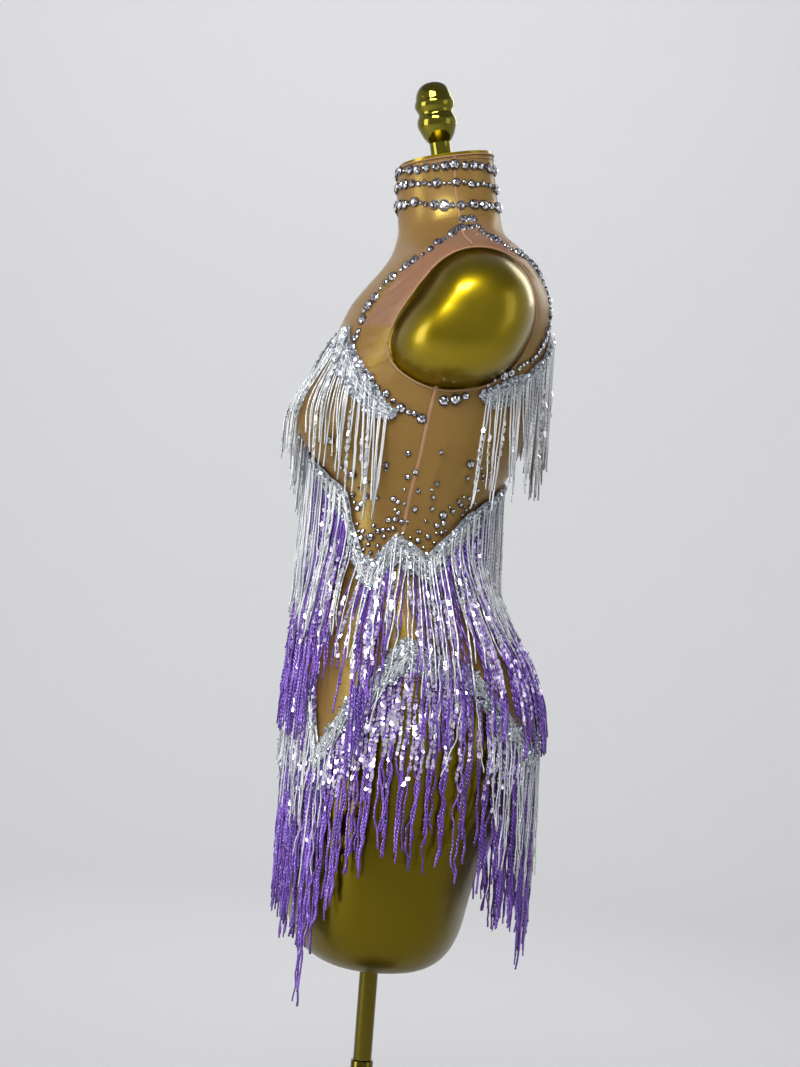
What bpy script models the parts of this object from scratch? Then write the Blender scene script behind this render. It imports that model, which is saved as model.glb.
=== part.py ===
"""Fringe dance dress on a limbless dress form that stands on a pole and a round foot.

Metres. The front faces -Y, the wearer's left is +X, the foot rests on Z = 0.
A point of the body is named by its turn in degrees (0 front, 90 wearer's left, 180 back)
and by its height over the underside of the form.
"""
import math
import random

import bpy
from mathutils import Matrix, Vector
from mathutils.bvhtree import BVHTree

GROUP = "fringe_dress_on_form"
GAP = 0.0003

# Dress form
FORM_BOTTOM = 0.600
COLUMN_STEP = 10
ROUNDNESS = 2.0 / 2.3
# height, front, back, half width, tilt of the ring (rise per metre towards the back)
SECTIONS = (
    (0.0175, 0.046, 0.044, 0.086, 0.00),
    (0.0240, 0.066, 0.064, 0.112, 0.00),
    (0.038, 0.083, 0.080, 0.131, 0.00),
    (0.062, 0.093, 0.091, 0.146, 0.00),
    (0.098, 0.098, 0.098, 0.155, 0.00),
    (0.145, 0.101, 0.110, 0.161, 0.00),
    (0.180, 0.102, 0.130, 0.164, 0.00),
    (0.215, 0.103, 0.148, 0.166, 0.00),
    (0.255, 0.103, 0.155, 0.166, 0.00),
    (0.300, 0.102, 0.150, 0.164, 0.00),
    (0.340, 0.100, 0.137, 0.157, 0.00),
    (0.385, 0.097, 0.108, 0.142, 0.00),
    (0.425, 0.092, 0.087, 0.126, 0.00),
    (0.460, 0.088, 0.077, 0.117, 0.00),
    (0.490, 0.089, 0.081, 0.119, 0.00),
    (0.525, 0.092, 0.094, 0.126, 0.00),
    (0.560, 0.095, 0.112, 0.133, 0.00),
    (0.600, 0.096, 0.124, 0.139, 0.00),
    (0.650, 0.092, 0.135, 0.146, 0.00),
    (0.690, 0.083, 0.139, 0.150, 0.02),
    (0.722, 0.073, 0.135, 0.152, 0.06),
    (0.750, 0.057, 0.120, 0.150, 0.12),
    (0.772, 0.042, 0.098, 0.140, 0.18),
    (0.790, 0.032, 0.082, 0.094, 0.22),
    (0.812, 0.028, 0.077, 0.062, 0.24),
    (0.845, 0.032, 0.070, 0.053, 0.24),
    (0.882, 0.034, 0.064, 0.052, 0.22),
)
EXTRA_RINGS = (0.580, 0.625, 0.670)
BUST_DEPTH = 0.040
BUST_HEIGHT = 0.584
BUST_CENTRE = 0.072
BUST_SPREAD = 0.058
BUST_SPREAD_UP = 0.065
BUST_SPREAD_DOWN = 0.038
# Armhole outline round its centre: degrees up from the back, radius
ARMHOLE = (
    (0, 0.0725), (20, 0.0770), (40, 0.0800), (60, 0.0785), (80, 0.0738), (100, 0.0680), (120, 0.0610),
    (140, 0.0545), (160, 0.0545), (175, 0.0600), (190, 0.0690), (205, 0.0800), (220, 0.0835), (240, 0.0805),
    (255, 0.0770), (270, 0.0725), (290, 0.0700), (310, 0.0695), (330, 0.0685), (345, 0.0690), (360, 0.0725),
)
ARMHOLE_CENTRE = (0.030, 0.6985)
ARMHOLE_X = (0.080, 0.260)
STUMP_X = 0.100
STUMP_REACH = 0.092
STUMP_SHARE = 0.98

# Neck finial: radius, height
FINIAL = (
    (0.0120, 0.000), (0.0113, 0.019), (0.0166, 0.026), (0.0192, 0.032), (0.0213, 0.038), (0.0211, 0.045),
    (0.0187, 0.050), (0.0193, 0.054), (0.0216, 0.059), (0.0212, 0.064), (0.0194, 0.068), (0.0172, 0.075),
    (0.0110, 0.081), (0.0000, 0.085),
)
FINIAL_Y = 0.012

# Stand: radius, height
BASE_PROFILE = (
    (0.175, 0.000), (0.175, 0.005), (0.171, 0.009), (0.120, 0.014), (0.060, 0.019),
    (0.026, 0.026), (0.018, 0.034),
)
LOWER_RADIUS = 0.0127
LOWER_TOP = 0.4817
FERRULE_PROFILE = (
    (0.0155, 0.000), (0.0165, 0.002), (0.0165, 0.011), (0.0122, 0.015), (0.0119, 0.0235),
)
UPPER_RADIUS = 0.0100

# Bodice cloth
CLOTH_CLEAR = 0.0004
CLOTH_THICKNESS = 0.0012
PANEL_BOTTOM = 0.145
PANEL_TOP = 0.878
SIDE_SEAM = 90
NECK_SEAM = 90
SEAM_STEP_HEIGHT = 0.690

# Band top edges: turn, height
WAIST_EDGE = (
    (0, 0.560), (20, 0.547), (45, 0.512), (50, 0.484), (60, 0.449), (69, 0.443), (81, 0.475),
    (99, 0.454), (104, 0.462), (127, 0.503), (160, 0.531), (180, 0.540),
)
HIP_EDGE = (
    (0, 0.340), (15, 0.330), (30, 0.310), (37, 0.251), (52, 0.301), (62, 0.324), (83, 0.370),
    (110, 0.339), (121, 0.310), (140, 0.273), (150, 0.258), (180, 0.300),
)
BUST_EDGE = ((0, 0.605), (20, 0.691), (55, 0.634), (70, 0.599))
BACK_EDGE = ((106, 0.626), (118, 0.640), (132, 0.651), (145, 0.668), (156, 0.695), (180, 0.640))
HIP_PURPLE_LENGTH = ((0, 0.229), (37, 0.252), (83, 0.194), (110, 0.202), (150, 0.206), (180, 0.216))

HIP_SILVER_LENGTH = ((0, 0.134), (180, 0.134))
WAIST_PURPLE_LENGTH = ((0, 0.234), (180, 0.234))
WAIST_SILVER_LENGTH = ((0, 0.144), (180, 0.144))
UPPER_LENGTH = ((0, 0.114), (180, 0.114))

STRIP_HEIGHT = 0.020
STRIP_THICKNESS = 0.0015
STRIP_OUT = 0.0020
STRIP_OUT_UPPER = 0.0039
LOCK_THICKNESS = 0.0020
STRIP_CLEAR = 0.0008
ROOT_CLEAR = 0.0007
LAYER_CLEAR = 0.0014
CLEAR_RAMP = 0.030
LOCK_STEPS = {3: (0.0, 0.16, 0.55, 1.0), 4: (0.0, 0.12, 0.40, 0.60, 1.0)}
DROP_SAMPLE = 0.005


def interpolate(table, key):
    """Every other column of a table at a value of its first column."""
    low = table[0]
    for high in table[1:]:
        if key <= high[0]:
            share = max(0.0, (key - low[0]) / (high[0] - low[0]))
            return [a + (b - a) * share for a, b in zip(low[1:], high[1:])]
        low = high
    return list(table[-1][1:])


def signed_power(value, power):
    return math.copysign(abs(value) ** power, value)


def body_point(turn, height):
    """A point of the bare form, in the part's own frame."""
    front, back, half_width, tilt = interpolate(SECTIONS, height)
    middle = (back - front) / 2
    angle = math.radians(turn)
    facing = math.cos(angle)
    x = half_width * signed_power(math.sin(angle), ROUNDNESS)
    y = middle - (back + front) / 2 * signed_power(facing, ROUNDNESS)
    if facing > 0:
        spread = BUST_SPREAD_UP if height > BUST_HEIGHT else BUST_SPREAD_DOWN
        side = (abs(x) - BUST_CENTRE) / BUST_SPREAD
        rise = (height - BUST_HEIGHT) / spread
        y -= BUST_DEPTH * math.exp(-side * side - rise * rise) * min(1.0, 1.6 * facing)
    return Vector((x, y, FORM_BOTTOM + height + tilt * (y - middle)))


RINGS = sorted([row[0] for row in SECTIONS] + list(EXTRA_RINGS))
COLUMNS = 360 // COLUMN_STEP
GRID = [[body_point(column * COLUMN_STEP, ring) for column in range(COLUMNS)] for ring in RINGS]


def grid_normal(row, column):
    """Outward direction of a grid point, from its neighbours."""
    across = GRID[row][(column + 1) % COLUMNS] - GRID[row][column - 1]
    upper = GRID[min(row + 1, len(RINGS) - 1)][column]
    lower = GRID[max(row - 1, 0)][column]
    return across.cross(upper - lower).normalized()


NORMALS = [[grid_normal(row, column) for column in range(COLUMNS)] for row in range(len(RINGS))]


def on_body(turn, height, out):
    """A point on the facets of the form moved out; every layer of the dress uses it."""
    turn = turn % 360
    column = min(int(turn // COLUMN_STEP), COLUMNS - 1)
    across = turn / COLUMN_STEP - column
    row = 0
    while row < len(RINGS) - 2 and height > RINGS[row + 1]:
        row += 1
    up = (height - RINGS[row]) / (RINGS[row + 1] - RINGS[row])
    after = (column + 1) % COLUMNS
    corners = [[GRID[r][c] + NORMALS[r][c] * out for c in (column, after)] for r in (row, row + 1)]
    if turn >= 180:
        corners = [pair[::-1] for pair in corners]
        across = 1 - across
    (low_near, low_far), (high_near, high_far) = corners
    if across + up <= 1:
        return low_near + (low_far - low_near) * across + (high_near - low_near) * up
    return high_far + (high_near - high_far) * (1 - across) + (low_far - high_far) * (1 - up)


def signed_turn(turn):
    turn = turn % 360
    return turn if turn <= 180 else turn - 360


BELOW = []


def lay_down(body):
    """Add a finished body to the ones that later pieces must lie on."""
    mesh = body.data
    corners = [vertex.co.copy() for vertex in mesh.vertices]
    BELOW.append(BVHTree.FromPolygons(corners, [tuple(face.vertices) for face in mesh.polygons]))


def outermost(point, direction, span):
    """How far beyond a point the outermost face already there lies."""
    best = -span
    for tree in BELOW:
        distance = tree.ray_cast(point + direction * span, -direction, 2 * span)[3]
        if distance is not None:
            best = max(best, span - distance)
    return best


def add_object(name, vertices, faces, material):
    mesh = bpy.data.meshes.new(name)
    mesh.from_pydata([tuple(vertex) for vertex in vertices], [], faces)
    mesh.validate()
    body = bpy.data.objects.new(name, mesh)
    bpy.context.scene.collection.children[GROUP].objects.link(body)
    mesh.materials.append(material)
    return body


def in_triangles(faces):
    """The same faces cut into triangles, so that every later step sees one surface."""
    return [(face[0], one, two) for face in faces for one, two in zip(face[1:], face[2:])]


def make_material(name, colour, metallic, roughness):
    material = bpy.data.materials.new(name)
    material.use_nodes = True
    shader = material.node_tree.nodes["Principled BSDF"]
    shader.inputs["Base Color"].default_value = (*colour, 1.0)
    shader.inputs["Metallic"].default_value = metallic
    shader.inputs["Roughness"].default_value = roughness
    return material


def gold(name):
    return make_material(name, (0.55, 0.45, 0.10), 1.0, 0.18)


def mesh_cloth(name):
    return make_material(name, (0.42, 0.28, 0.14), 0.0, 0.6)


def silver(name):
    return make_material(name, (0.60, 0.62, 0.66), 0.6, 0.35)


def purple(name):
    return make_material(name, (0.16, 0.04, 0.42), 0.0, 0.5)


def turned(name, profile, material, steps, base=0.0):
    """A closed body of revolution about Z from a profile of radius and height."""
    vertices = []
    faces = []
    rows = [(radius, base + height) for radius, height in profile if radius > 0]
    for radius, height in rows:
        for step in range(steps):
            angle = 2 * math.pi * step / steps
            vertices.append((radius * math.cos(angle), radius * math.sin(angle), height))
    for row in range(len(rows) - 1):
        for step in range(steps):
            after = (step + 1) % steps
            low = row * steps
            high = low + steps
            faces.append((low + step, low + after, high + after, high + step))
    faces.append(tuple(reversed(range(steps))))
    top = (len(rows) - 1) * steps
    if profile[-1][0] > 0:
        faces.append(tuple(range(top, top + steps)))
    else:
        vertices.append((0.0, 0.0, base + profile[-1][1]))
        for step in range(steps):
            faces.append((top + step, top + (step + 1) % steps, len(vertices) - 1))
    return add_object(name, vertices, faces, material)


def armhole_point(angle, share):
    """Depth and height of a point of the armhole outline, shrunk by a share."""
    radius = share * interpolate(ARMHOLE, math.degrees(angle) % 360)[0]
    return ARMHOLE_CENTRE[0] + radius * math.cos(angle), ARMHOLE_CENTRE[1] + radius * math.sin(angle)


def arm_stump(name, side, around, rows):
    """The rounded end of the shoulder, as wide as the armhole it fills."""
    vertices = [Vector((side * STUMP_X + reach, *armhole_point(0.0, 0.0))) for reach in (-STUMP_REACH, STUMP_REACH)]
    faces = []
    for row in range(1, rows):
        angle = math.pi * row / rows
        for step in range(around):
            y, z = armhole_point(2 * math.pi * step / around, STUMP_SHARE * math.sin(angle))
            vertices.append(Vector((side * STUMP_X - STUMP_REACH * math.cos(angle), y, z)))
    for step in range(around):
        after = (step + 1) % around
        faces.append((0, 2 + after, 2 + step))
        last = 2 + (rows - 2) * around
        faces.append((1, last + step, last + after))
        for row in range(rows - 2):
            low = 2 + row * around
            faces.append((low + step, low + after, low + around + after, low + around + step))
    for vertex in vertices:
        vertex.z += FORM_BOTTOM
    return add_object(name, vertices, faces, gold(name + "_finish"))


def apply_boolean(body, tool, operation):
    """Fuse or cut with a tool body, then drop the tool."""
    modifier = body.modifiers.new(tool.name, "BOOLEAN")
    modifier.operation = operation
    modifier.solver = "EXACT"
    modifier.object = tool
    bpy.context.view_layer.update()
    graph = bpy.context.evaluated_depsgraph_get()
    result = bpy.data.meshes.new_from_object(body.evaluated_get(graph))
    body.modifiers.remove(modifier)
    result.materials.clear()
    result.materials.append(body.data.materials[0])
    for polygon in result.polygons:
        polygon.material_index = 0
    body.data = result
    bpy.data.objects.remove(tool)


def make_form():
    """The smooth torso block with a rounded cap where each arm would start."""
    vertices = [point for ring in GRID for point in ring]
    faces = [tuple(reversed(range(COLUMNS)))]
    for row in range(len(RINGS) - 1):
        for column in range(COLUMNS):
            after = (column + 1) % COLUMNS
            low_near = row * COLUMNS + column
            low_far = row * COLUMNS + after
            high_near = low_near + COLUMNS
            high_far = low_far + COLUMNS
            if column * COLUMN_STEP < 180:
                faces += [(low_near, low_far, high_near), (low_far, high_far, high_near)]
            else:
                faces += [(low_near, low_far, high_far), (low_near, high_far, high_near)]
    top = (len(RINGS) - 1) * COLUMNS
    faces.append(tuple(range(top, top + COLUMNS)))
    form = add_object("form_torso", vertices, faces, gold("form_torso_gold"))
    for side, name in ((1, "left_stump"), (-1, "right_stump")):
        apply_boolean(form, arm_stump(name, side, 24, 14), "UNION")
    return form


def make_finial():
    """The turned knob on the neck plate, leaning with the neck."""
    tilt = SECTIONS[-1][4]
    front, back = SECTIONS[-1][1], SECTIONS[-1][2]
    knob = turned("finial", FINIAL, gold("finial_gold"), 20)
    height = FORM_BOTTOM + SECTIONS[-1][0] + tilt * (FINIAL_Y - (back - front) / 2)
    lean = Matrix.Rotation(math.atan(tilt), 4, "X")
    lift = lean @ Vector((0.0, 0.0, GAP))
    knob.data.transform(Matrix.Translation(Vector((0.0, FINIAL_Y, height)) + lift) @ lean)


def make_stand():
    """Round foot, lower tube, ferrule and upper pole, each a hair apart."""
    turned("base_plate", BASE_PROFILE, gold("base_plate_gold"), 40)
    foot_top = BASE_PROFILE[-1][1] + GAP
    lower = ((LOWER_RADIUS, 0.0), (LOWER_RADIUS, LOWER_TOP - foot_top))
    turned("pole_lower", lower, gold("pole_lower_gold"), 20, foot_top)
    turned("pole_ferrule", FERRULE_PROFILE, gold("pole_ferrule_gold"), 20, LOWER_TOP + GAP)
    upper_bottom = LOWER_TOP + FERRULE_PROFILE[-1][1] + 2 * GAP
    upper_top = FORM_BOTTOM + SECTIONS[0][0] - GAP
    upper = ((UPPER_RADIUS, 0.0), (UPPER_RADIUS, upper_top - upper_bottom))
    turned("pole_upper", upper, gold("pole_upper_gold"), 20, upper_bottom)


def seam_turn(turn, height, towards):
    """A seam line moved by half the gap into its own panel."""
    span = (on_body(turn + towards, height, 0.0) - on_body(turn, height, 0.0)).length
    return turn + towards * GAP / 2 / span


def panel_owner(column, middle_height):
    side = signed_turn((column + 0.5) * COLUMN_STEP)
    seam = SIDE_SEAM if middle_height < SEAM_STEP_HEIGHT else NECK_SEAM
    if abs(side) < seam:
        return "bodice_front"
    return "bodice_back_left" if side > 0 else "bodice_back_right"


def make_panel(name):
    """One cloth panel: the form's own facets moved out, an inner and an outer face."""
    levels = [ring for ring in RINGS if PANEL_BOTTOM <= ring < PANEL_TOP] + [PANEL_TOP]
    owned = set()
    for row in range(len(levels) - 1):
        for column in range(COLUMNS):
            if panel_owner(column, (levels[row] + levels[row + 1]) / 2) == name:
                owned.add((row, column))
    index = {}
    places = []
    faces = []

    def place(row, column):
        """The shared point of the cells round a grid corner."""
        column %= COLUMNS
        if (row, column) in index:
            return index[(row, column)]
        turn = column * COLUMN_STEP
        after = any((row + down, column) in owned for down in (-1, 0))
        before = any((row + down, (column - 1) % COLUMNS) in owned for down in (-1, 0))
        if after and not before:
            turn = seam_turn(turn, levels[row], 1)
        elif before and not after:
            turn = seam_turn(turn, levels[row], -1)
        index[(row, column)] = len(places)
        places.append((turn, levels[row]))
        return index[(row, column)]

    for row, column in sorted(owned):
        low_near, low_far = place(row, column), place(row, column + 1)
        high_near, high_far = place(row + 1, column), place(row + 1, column + 1)
        if column * COLUMN_STEP < 180:
            faces += [(low_near, low_far, high_near), (low_far, high_far, high_near)]
        else:
            faces += [(low_near, low_far, high_far), (low_near, high_far, high_near)]
    count = len(places)
    edges = {}
    for face in faces:
        for one, two in zip(face, face[1:] + face[:1]):
            edges[(one, two)] = True
    rims = [(two, one, one + count, two + count) for one, two in edges if (two, one) not in edges]
    outer = [tuple(number + count for number in face) for face in faces]
    inner = [tuple(reversed(face)) for face in faces]
    vertices = [on_body(turn, height, CLOTH_CLEAR) for turn, height in places]
    vertices += [on_body(turn, height, CLOTH_CLEAR + CLOTH_THICKNESS) for turn, height in places]
    rims = [tuple(reversed(rim)) for rim in rims]
    return add_object(name, vertices, inner + outer + rims, mesh_cloth(name + "_mesh"))


def armhole_tool(side):
    """A bar along X that opens one armhole."""
    vertices = []
    steps = 36
    for x in ARMHOLE_X:
        for step in range(steps):
            angle = side * 2 * math.pi * (step + 0.5) / steps
            y, z = armhole_point(angle, 1.0)
            vertices.append((side * x, y, FORM_BOTTOM + z))
    faces = [tuple(reversed(range(steps))), tuple(range(steps, 2 * steps))]
    for step in range(steps):
        after = (step + 1) % steps
        faces.append((step, after, steps + after, steps + step))
    return add_object("armhole_tool", vertices, faces, gold("armhole_tool_finish"))


def hem_height(turn):
    """The lower edge of the cloth, high at the hips and low at front and back."""
    side = abs(math.sin(math.radians(turn)))
    if abs(signed_turn(turn)) < 90:
        return 0.185 + 0.145 * side ** 3
    return 0.165 + 0.165 * side ** 2.5


def hem_tool():
    """A ring below the hem line that trims the cloth to it."""
    steps = 72
    vertices = []
    for step in range(steps):
        turn = (step + 0.4) * 360 / steps
        angle = math.radians(turn)
        level = FORM_BOTTOM + hem_height(turn)
        for radius, height in ((0.04, 0.70), (0.26, 0.70), (0.26, level), (0.04, level)):
            vertices.append((radius * math.sin(angle), 0.015 - radius * math.cos(angle), height))
    faces = []
    for step in range(steps):
        near = 4 * step
        far = 4 * ((step + 1) % steps)
        for corner in range(4):
            after = (corner + 1) % 4
            faces.append((near + corner, far + corner, far + after, near + after))
    return add_object("hem_tool", vertices, faces, gold("hem_tool_finish"))


def strip_lifts(edge, columns, closed, out):
    """Distance out of each strip column, so that the strip clears what it lies on."""
    def at(turn, drop, distance):
        return on_body(turn, interpolate(edge, abs(signed_turn(turn)))[0] - drop, distance)

    lifts = [out] * len(columns)
    spans = len(columns) if closed else len(columns) - 1
    for span in range(spans):
        after = (span + 1) % len(columns)
        near, far = columns[span], columns[after]
        corners = [at(turn, drop, out) for turn in (near, far) for drop in (0.0, STRIP_HEIGHT)]
        middle = at((near + (far or 360)) / 2, STRIP_HEIGHT / 2, 1.0)
        normal = (middle - at((near + (far or 360)) / 2, STRIP_HEIGHT / 2, 0.0)).normalized()
        short = 0.0
        for across in (0.01, 0.2, 0.4, 0.6, 0.8, 0.99):
            for down in (0.02, 0.18, 0.34, 0.5, 0.66, 0.82, 0.98):
                high = corners[0].lerp(corners[2], across)
                low = corners[1].lerp(corners[3], across)
                short = max(short, outermost(high.lerp(low, down), normal, 0.02) + STRIP_CLEAR)
        lifts[span] = max(lifts[span], out + short)
        lifts[after] = max(lifts[after], out + short)
    return lifts


def drape(start, along, half, direction, levels):
    """Distances out of a lock that hangs down and lies on whatever is under it."""
    heights = []
    needs = []
    shares = []
    for step, (high, low) in enumerate(zip(levels, levels[1:])):
        count = max(2, int(round((high - low) / DROP_SAMPLE)))
        for sample in range(1, count + 1):
            heights.append(high + (low - high) * sample / count)
            shares.append((step, sample / count))
    best = 0.0
    for height in heights:
        opened = min(1.0, (levels[0] - height) / CLEAR_RAMP)
        clear = ROOT_CLEAR + (LAYER_CLEAR - ROOT_CLEAR) * opened
        for side in (-1.0, -0.67, -0.33, 0.0, 0.33, 0.67, 1.0):
            plan = start + along * (half * side * (0.95 + 0.4 * opened))
            point = Vector((plan.x, plan.y, FORM_BOTTOM + height))
            best = max(best, outermost(point, direction.to_3d(), 0.12) + clear)
        needs.append(best)
    outs = [0.0] + [need for need, (step, share) in zip(needs, shares) if share == 1.0]
    for _ in range(40):
        for need, (step, share) in zip(needs, shares):
            short = need - (outs[step] * (1 - share) + outs[step + 1] * share)
            if short <= 0:
                continue
            if step == 0:
                outs[1] += short / share
                continue
            weight = share * share + (1 - share) * (1 - share)
            outs[step] += short * (1 - share) / weight
            outs[step + 1] += short * share / weight
    for step in range(1, len(outs)):
        outs[step] = max(outs[step], outs[step - 1])
    return outs


def make_fringe(name, material, edge, turns, out, lengths, segments, seed):
    """A narrow strip on the body whose lower edge carries a row of hanging locks."""
    random.seed(seed)
    closed = (turns[-1] - turns[0]) % 360 == 0
    columns = turns[:-1] if closed else turns
    vertices = []
    faces = []
    for turn, lift in zip(columns, strip_lifts(edge, columns, closed, out)):
        height = interpolate(edge, abs(signed_turn(turn)))[0]
        for drop, layer in ((0.0, 0.0), (0.0, 1.0), (STRIP_HEIGHT, 1.0), (STRIP_HEIGHT, 0.0)):
            vertices.append(on_body(turn, height - drop, lift + layer * STRIP_THICKNESS))
    count = len(columns)
    spans = count if closed else count - 1
    for span in range(spans):
        near = 4 * span
        far = 4 * ((span + 1) % count)
        faces.append((near, near + 1, far + 1, far))
        faces.append((near + 1, near + 2, far + 2, far + 1))
        faces.append((near, far, far + 3, near + 3))
        if span % 2:
            faces.append((near + 2, near + 3, far + 3, far + 2))
            continue
        turn = (turns[span] + turns[span + 1]) / 2
        root = interpolate(edge, abs(signed_turn(turn)))[0] - STRIP_HEIGHT
        corners = [vertices[near + 3], vertices[far + 3]]
        centre = (corners[0] + corners[1]).to_2d() / 2
        along = (corners[1] - corners[0]).to_2d()
        width = along.length
        along.normalize()
        direction = Vector((along.y, -along.x))
        length = interpolate(lengths, abs(signed_turn(turn)))[0]
        levels = [root - length * share for share in LOCK_STEPS[segments]]
        outs = drape(centre, along, width / 2, direction, levels)
        cut = random.uniform(0.0, 0.45)
        levels[-1] += cut * (levels[-2] - levels[-1])
        outs[-1] += cut * (outs[-2] - outs[-1])
        sway = random.uniform(-0.0012, 0.0012)
        ring = [near + 3, far + 3, far + 2, near + 2]
        for step in range(1, segments + 1):
            half = width * (0.5 - 0.10 * min(step, 2))
            shift = sway * step / segments
            fresh = len(vertices)
            for side, layer in ((-half, 0.0), (half, 0.0), (half, 1.0), (-half, 1.0)):
                plan = centre + along * (side + shift)
                plan += direction * (outs[step] + layer * LOCK_THICKNESS)
                vertices.append(Vector((plan.x, plan.y, FORM_BOTTOM + levels[step])))
            for corner in range(4):
                after = (corner + 1) % 4
                faces.append((ring[corner], ring[after], fresh + after, fresh + corner))
            ring = [fresh, fresh + 1, fresh + 2, fresh + 3]
        faces.append(tuple(ring))
    if not closed:
        last = 4 * (count - 1)
        faces += [(3, 2, 1, 0), (last, last + 1, last + 2, last + 3)]
    body = add_object(name, vertices, in_triangles(faces), material)
    lay_down(body)
    return body


def turns_between(first, last, step_count):
    return [first + (last - first) * step / step_count for step in range(step_count + 1)]


def make_dress():
    """The three cloth panels, then the bands of fringe from the cloth outwards."""
    for name in ("bodice_front", "bodice_back_left", "bodice_back_right"):
        panel = make_panel(name)
        apply_boolean(panel, hem_tool(), "DIFFERENCE")
        for side in (1, -1):
            if name == "bodice_front" or (side > 0) == name.endswith("left"):
                apply_boolean(panel, armhole_tool(side), "DIFFERENCE")
        lay_down(panel)
    rings = (
        ("hip_fringe_purple", purple, HIP_EDGE, 108, STRIP_OUT, HIP_PURPLE_LENGTH, 4, 11),
        ("hip_fringe_silver", silver, HIP_EDGE, 72, STRIP_OUT_UPPER, HIP_SILVER_LENGTH, 3, 12),
        ("waist_fringe_purple", purple, WAIST_EDGE, 72, STRIP_OUT, WAIST_PURPLE_LENGTH, 4, 13),
        ("waist_fringe_silver", silver, WAIST_EDGE, 72, STRIP_OUT_UPPER, WAIST_SILVER_LENGTH, 3, 14),
    )
    for name, thread, edge, columns, out, lengths, segments, seed in rings:
        turns = turns_between(0, 360, columns)
        make_fringe(name, thread(name + "_thread"), edge, turns, out, lengths, segments, seed)
    sides = (("bust", BUST_EDGE, 0.6, 70.0, 15), ("back", BACK_EDGE, 106.0, 179.4, 16))
    for row, edge, first, last, seed in sides:
        left = turns_between(first, last, 21)
        right = turns_between(360 - last, 360 - first, 21)
        for turns, word in ((left, "left"), (right, "right")):
            name = row + "_fringe_" + word
            make_fringe(name, silver(name + "_thread"), edge, turns, STRIP_OUT, UPPER_LENGTH, 3, seed)


def clear_scene():
    for item in list(bpy.data.objects):
        bpy.data.objects.remove(item, do_unlink=True)
    group = bpy.data.collections.new(GROUP)
    bpy.context.scene.collection.children.link(group)


clear_scene()
make_stand()
lay_down(make_form())
make_finial()
make_dress()
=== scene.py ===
"""Looks of the fringe dance dress and its gold dress form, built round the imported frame.

Metres. The front faces -Y and the wearer's left is +X. A point of the body is named by its
turn in degrees (0 front, 90 left, 180 back) and its height over FORM_BOTTOM.
"""
import math

import bpy
import numpy as np
from mathutils import Matrix, Vector


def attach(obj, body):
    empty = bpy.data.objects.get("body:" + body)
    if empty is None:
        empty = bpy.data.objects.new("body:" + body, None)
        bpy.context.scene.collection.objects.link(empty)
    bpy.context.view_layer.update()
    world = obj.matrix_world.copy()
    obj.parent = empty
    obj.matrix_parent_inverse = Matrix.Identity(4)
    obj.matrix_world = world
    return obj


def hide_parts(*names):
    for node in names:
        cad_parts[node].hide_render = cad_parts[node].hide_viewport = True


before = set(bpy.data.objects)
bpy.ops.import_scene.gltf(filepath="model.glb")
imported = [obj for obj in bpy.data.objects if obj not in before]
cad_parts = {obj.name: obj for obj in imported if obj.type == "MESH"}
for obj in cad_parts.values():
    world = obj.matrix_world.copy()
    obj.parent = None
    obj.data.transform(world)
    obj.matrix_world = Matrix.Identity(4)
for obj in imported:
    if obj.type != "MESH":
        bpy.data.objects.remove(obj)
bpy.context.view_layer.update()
GROUP = bpy.context.scene.collection

# ---------------------------------------------------------------- body
FORM_BOTTOM = 0.600
ROUNDNESS = 2.0 / 2.3
# height, front, back, half width, tilt of the ring
SECTIONS = np.array((
    (0.0175, 0.046, 0.044, 0.086, 0.00),
    (0.024, 0.066, 0.064, 0.112, 0.00),
    (0.038, 0.083, 0.080, 0.131, 0.00),
    (0.062, 0.093, 0.091, 0.146, 0.00),
    (0.098, 0.098, 0.098, 0.155, 0.00),
    (0.145, 0.101, 0.110, 0.161, 0.00),
    (0.180, 0.102, 0.130, 0.164, 0.00),
    (0.215, 0.103, 0.148, 0.166, 0.00),
    (0.255, 0.103, 0.155, 0.166, 0.00),
    (0.300, 0.102, 0.150, 0.164, 0.00),
    (0.340, 0.100, 0.137, 0.157, 0.00),
    (0.385, 0.097, 0.108, 0.142, 0.00),
    (0.425, 0.092, 0.087, 0.126, 0.00),
    (0.460, 0.088, 0.077, 0.117, 0.00),
    (0.490, 0.089, 0.081, 0.119, 0.00),
    (0.525, 0.092, 0.094, 0.126, 0.00),
    (0.560, 0.095, 0.112, 0.133, 0.00),
    (0.600, 0.096, 0.124, 0.139, 0.00),
    (0.650, 0.092, 0.135, 0.146, 0.00),
    (0.690, 0.083, 0.139, 0.150, 0.02),
    (0.722, 0.073, 0.135, 0.152, 0.06),
    (0.750, 0.057, 0.120, 0.150, 0.12),
    (0.772, 0.042, 0.098, 0.140, 0.18),
    (0.790, 0.032, 0.082, 0.094, 0.22),
    (0.812, 0.028, 0.077, 0.062, 0.24),
    (0.845, 0.032, 0.070, 0.053, 0.24),
    (0.882, 0.034, 0.064, 0.052, 0.22),
))
NECK_PLATE = 0.882
BUST_DEPTH, BUST_HEIGHT, BUST_CENTRE = 0.040, 0.584, 0.072
BUST_SPREAD, BUST_SPREAD_UP, BUST_SPREAD_DOWN = 0.058, 0.065, 0.038
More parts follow.
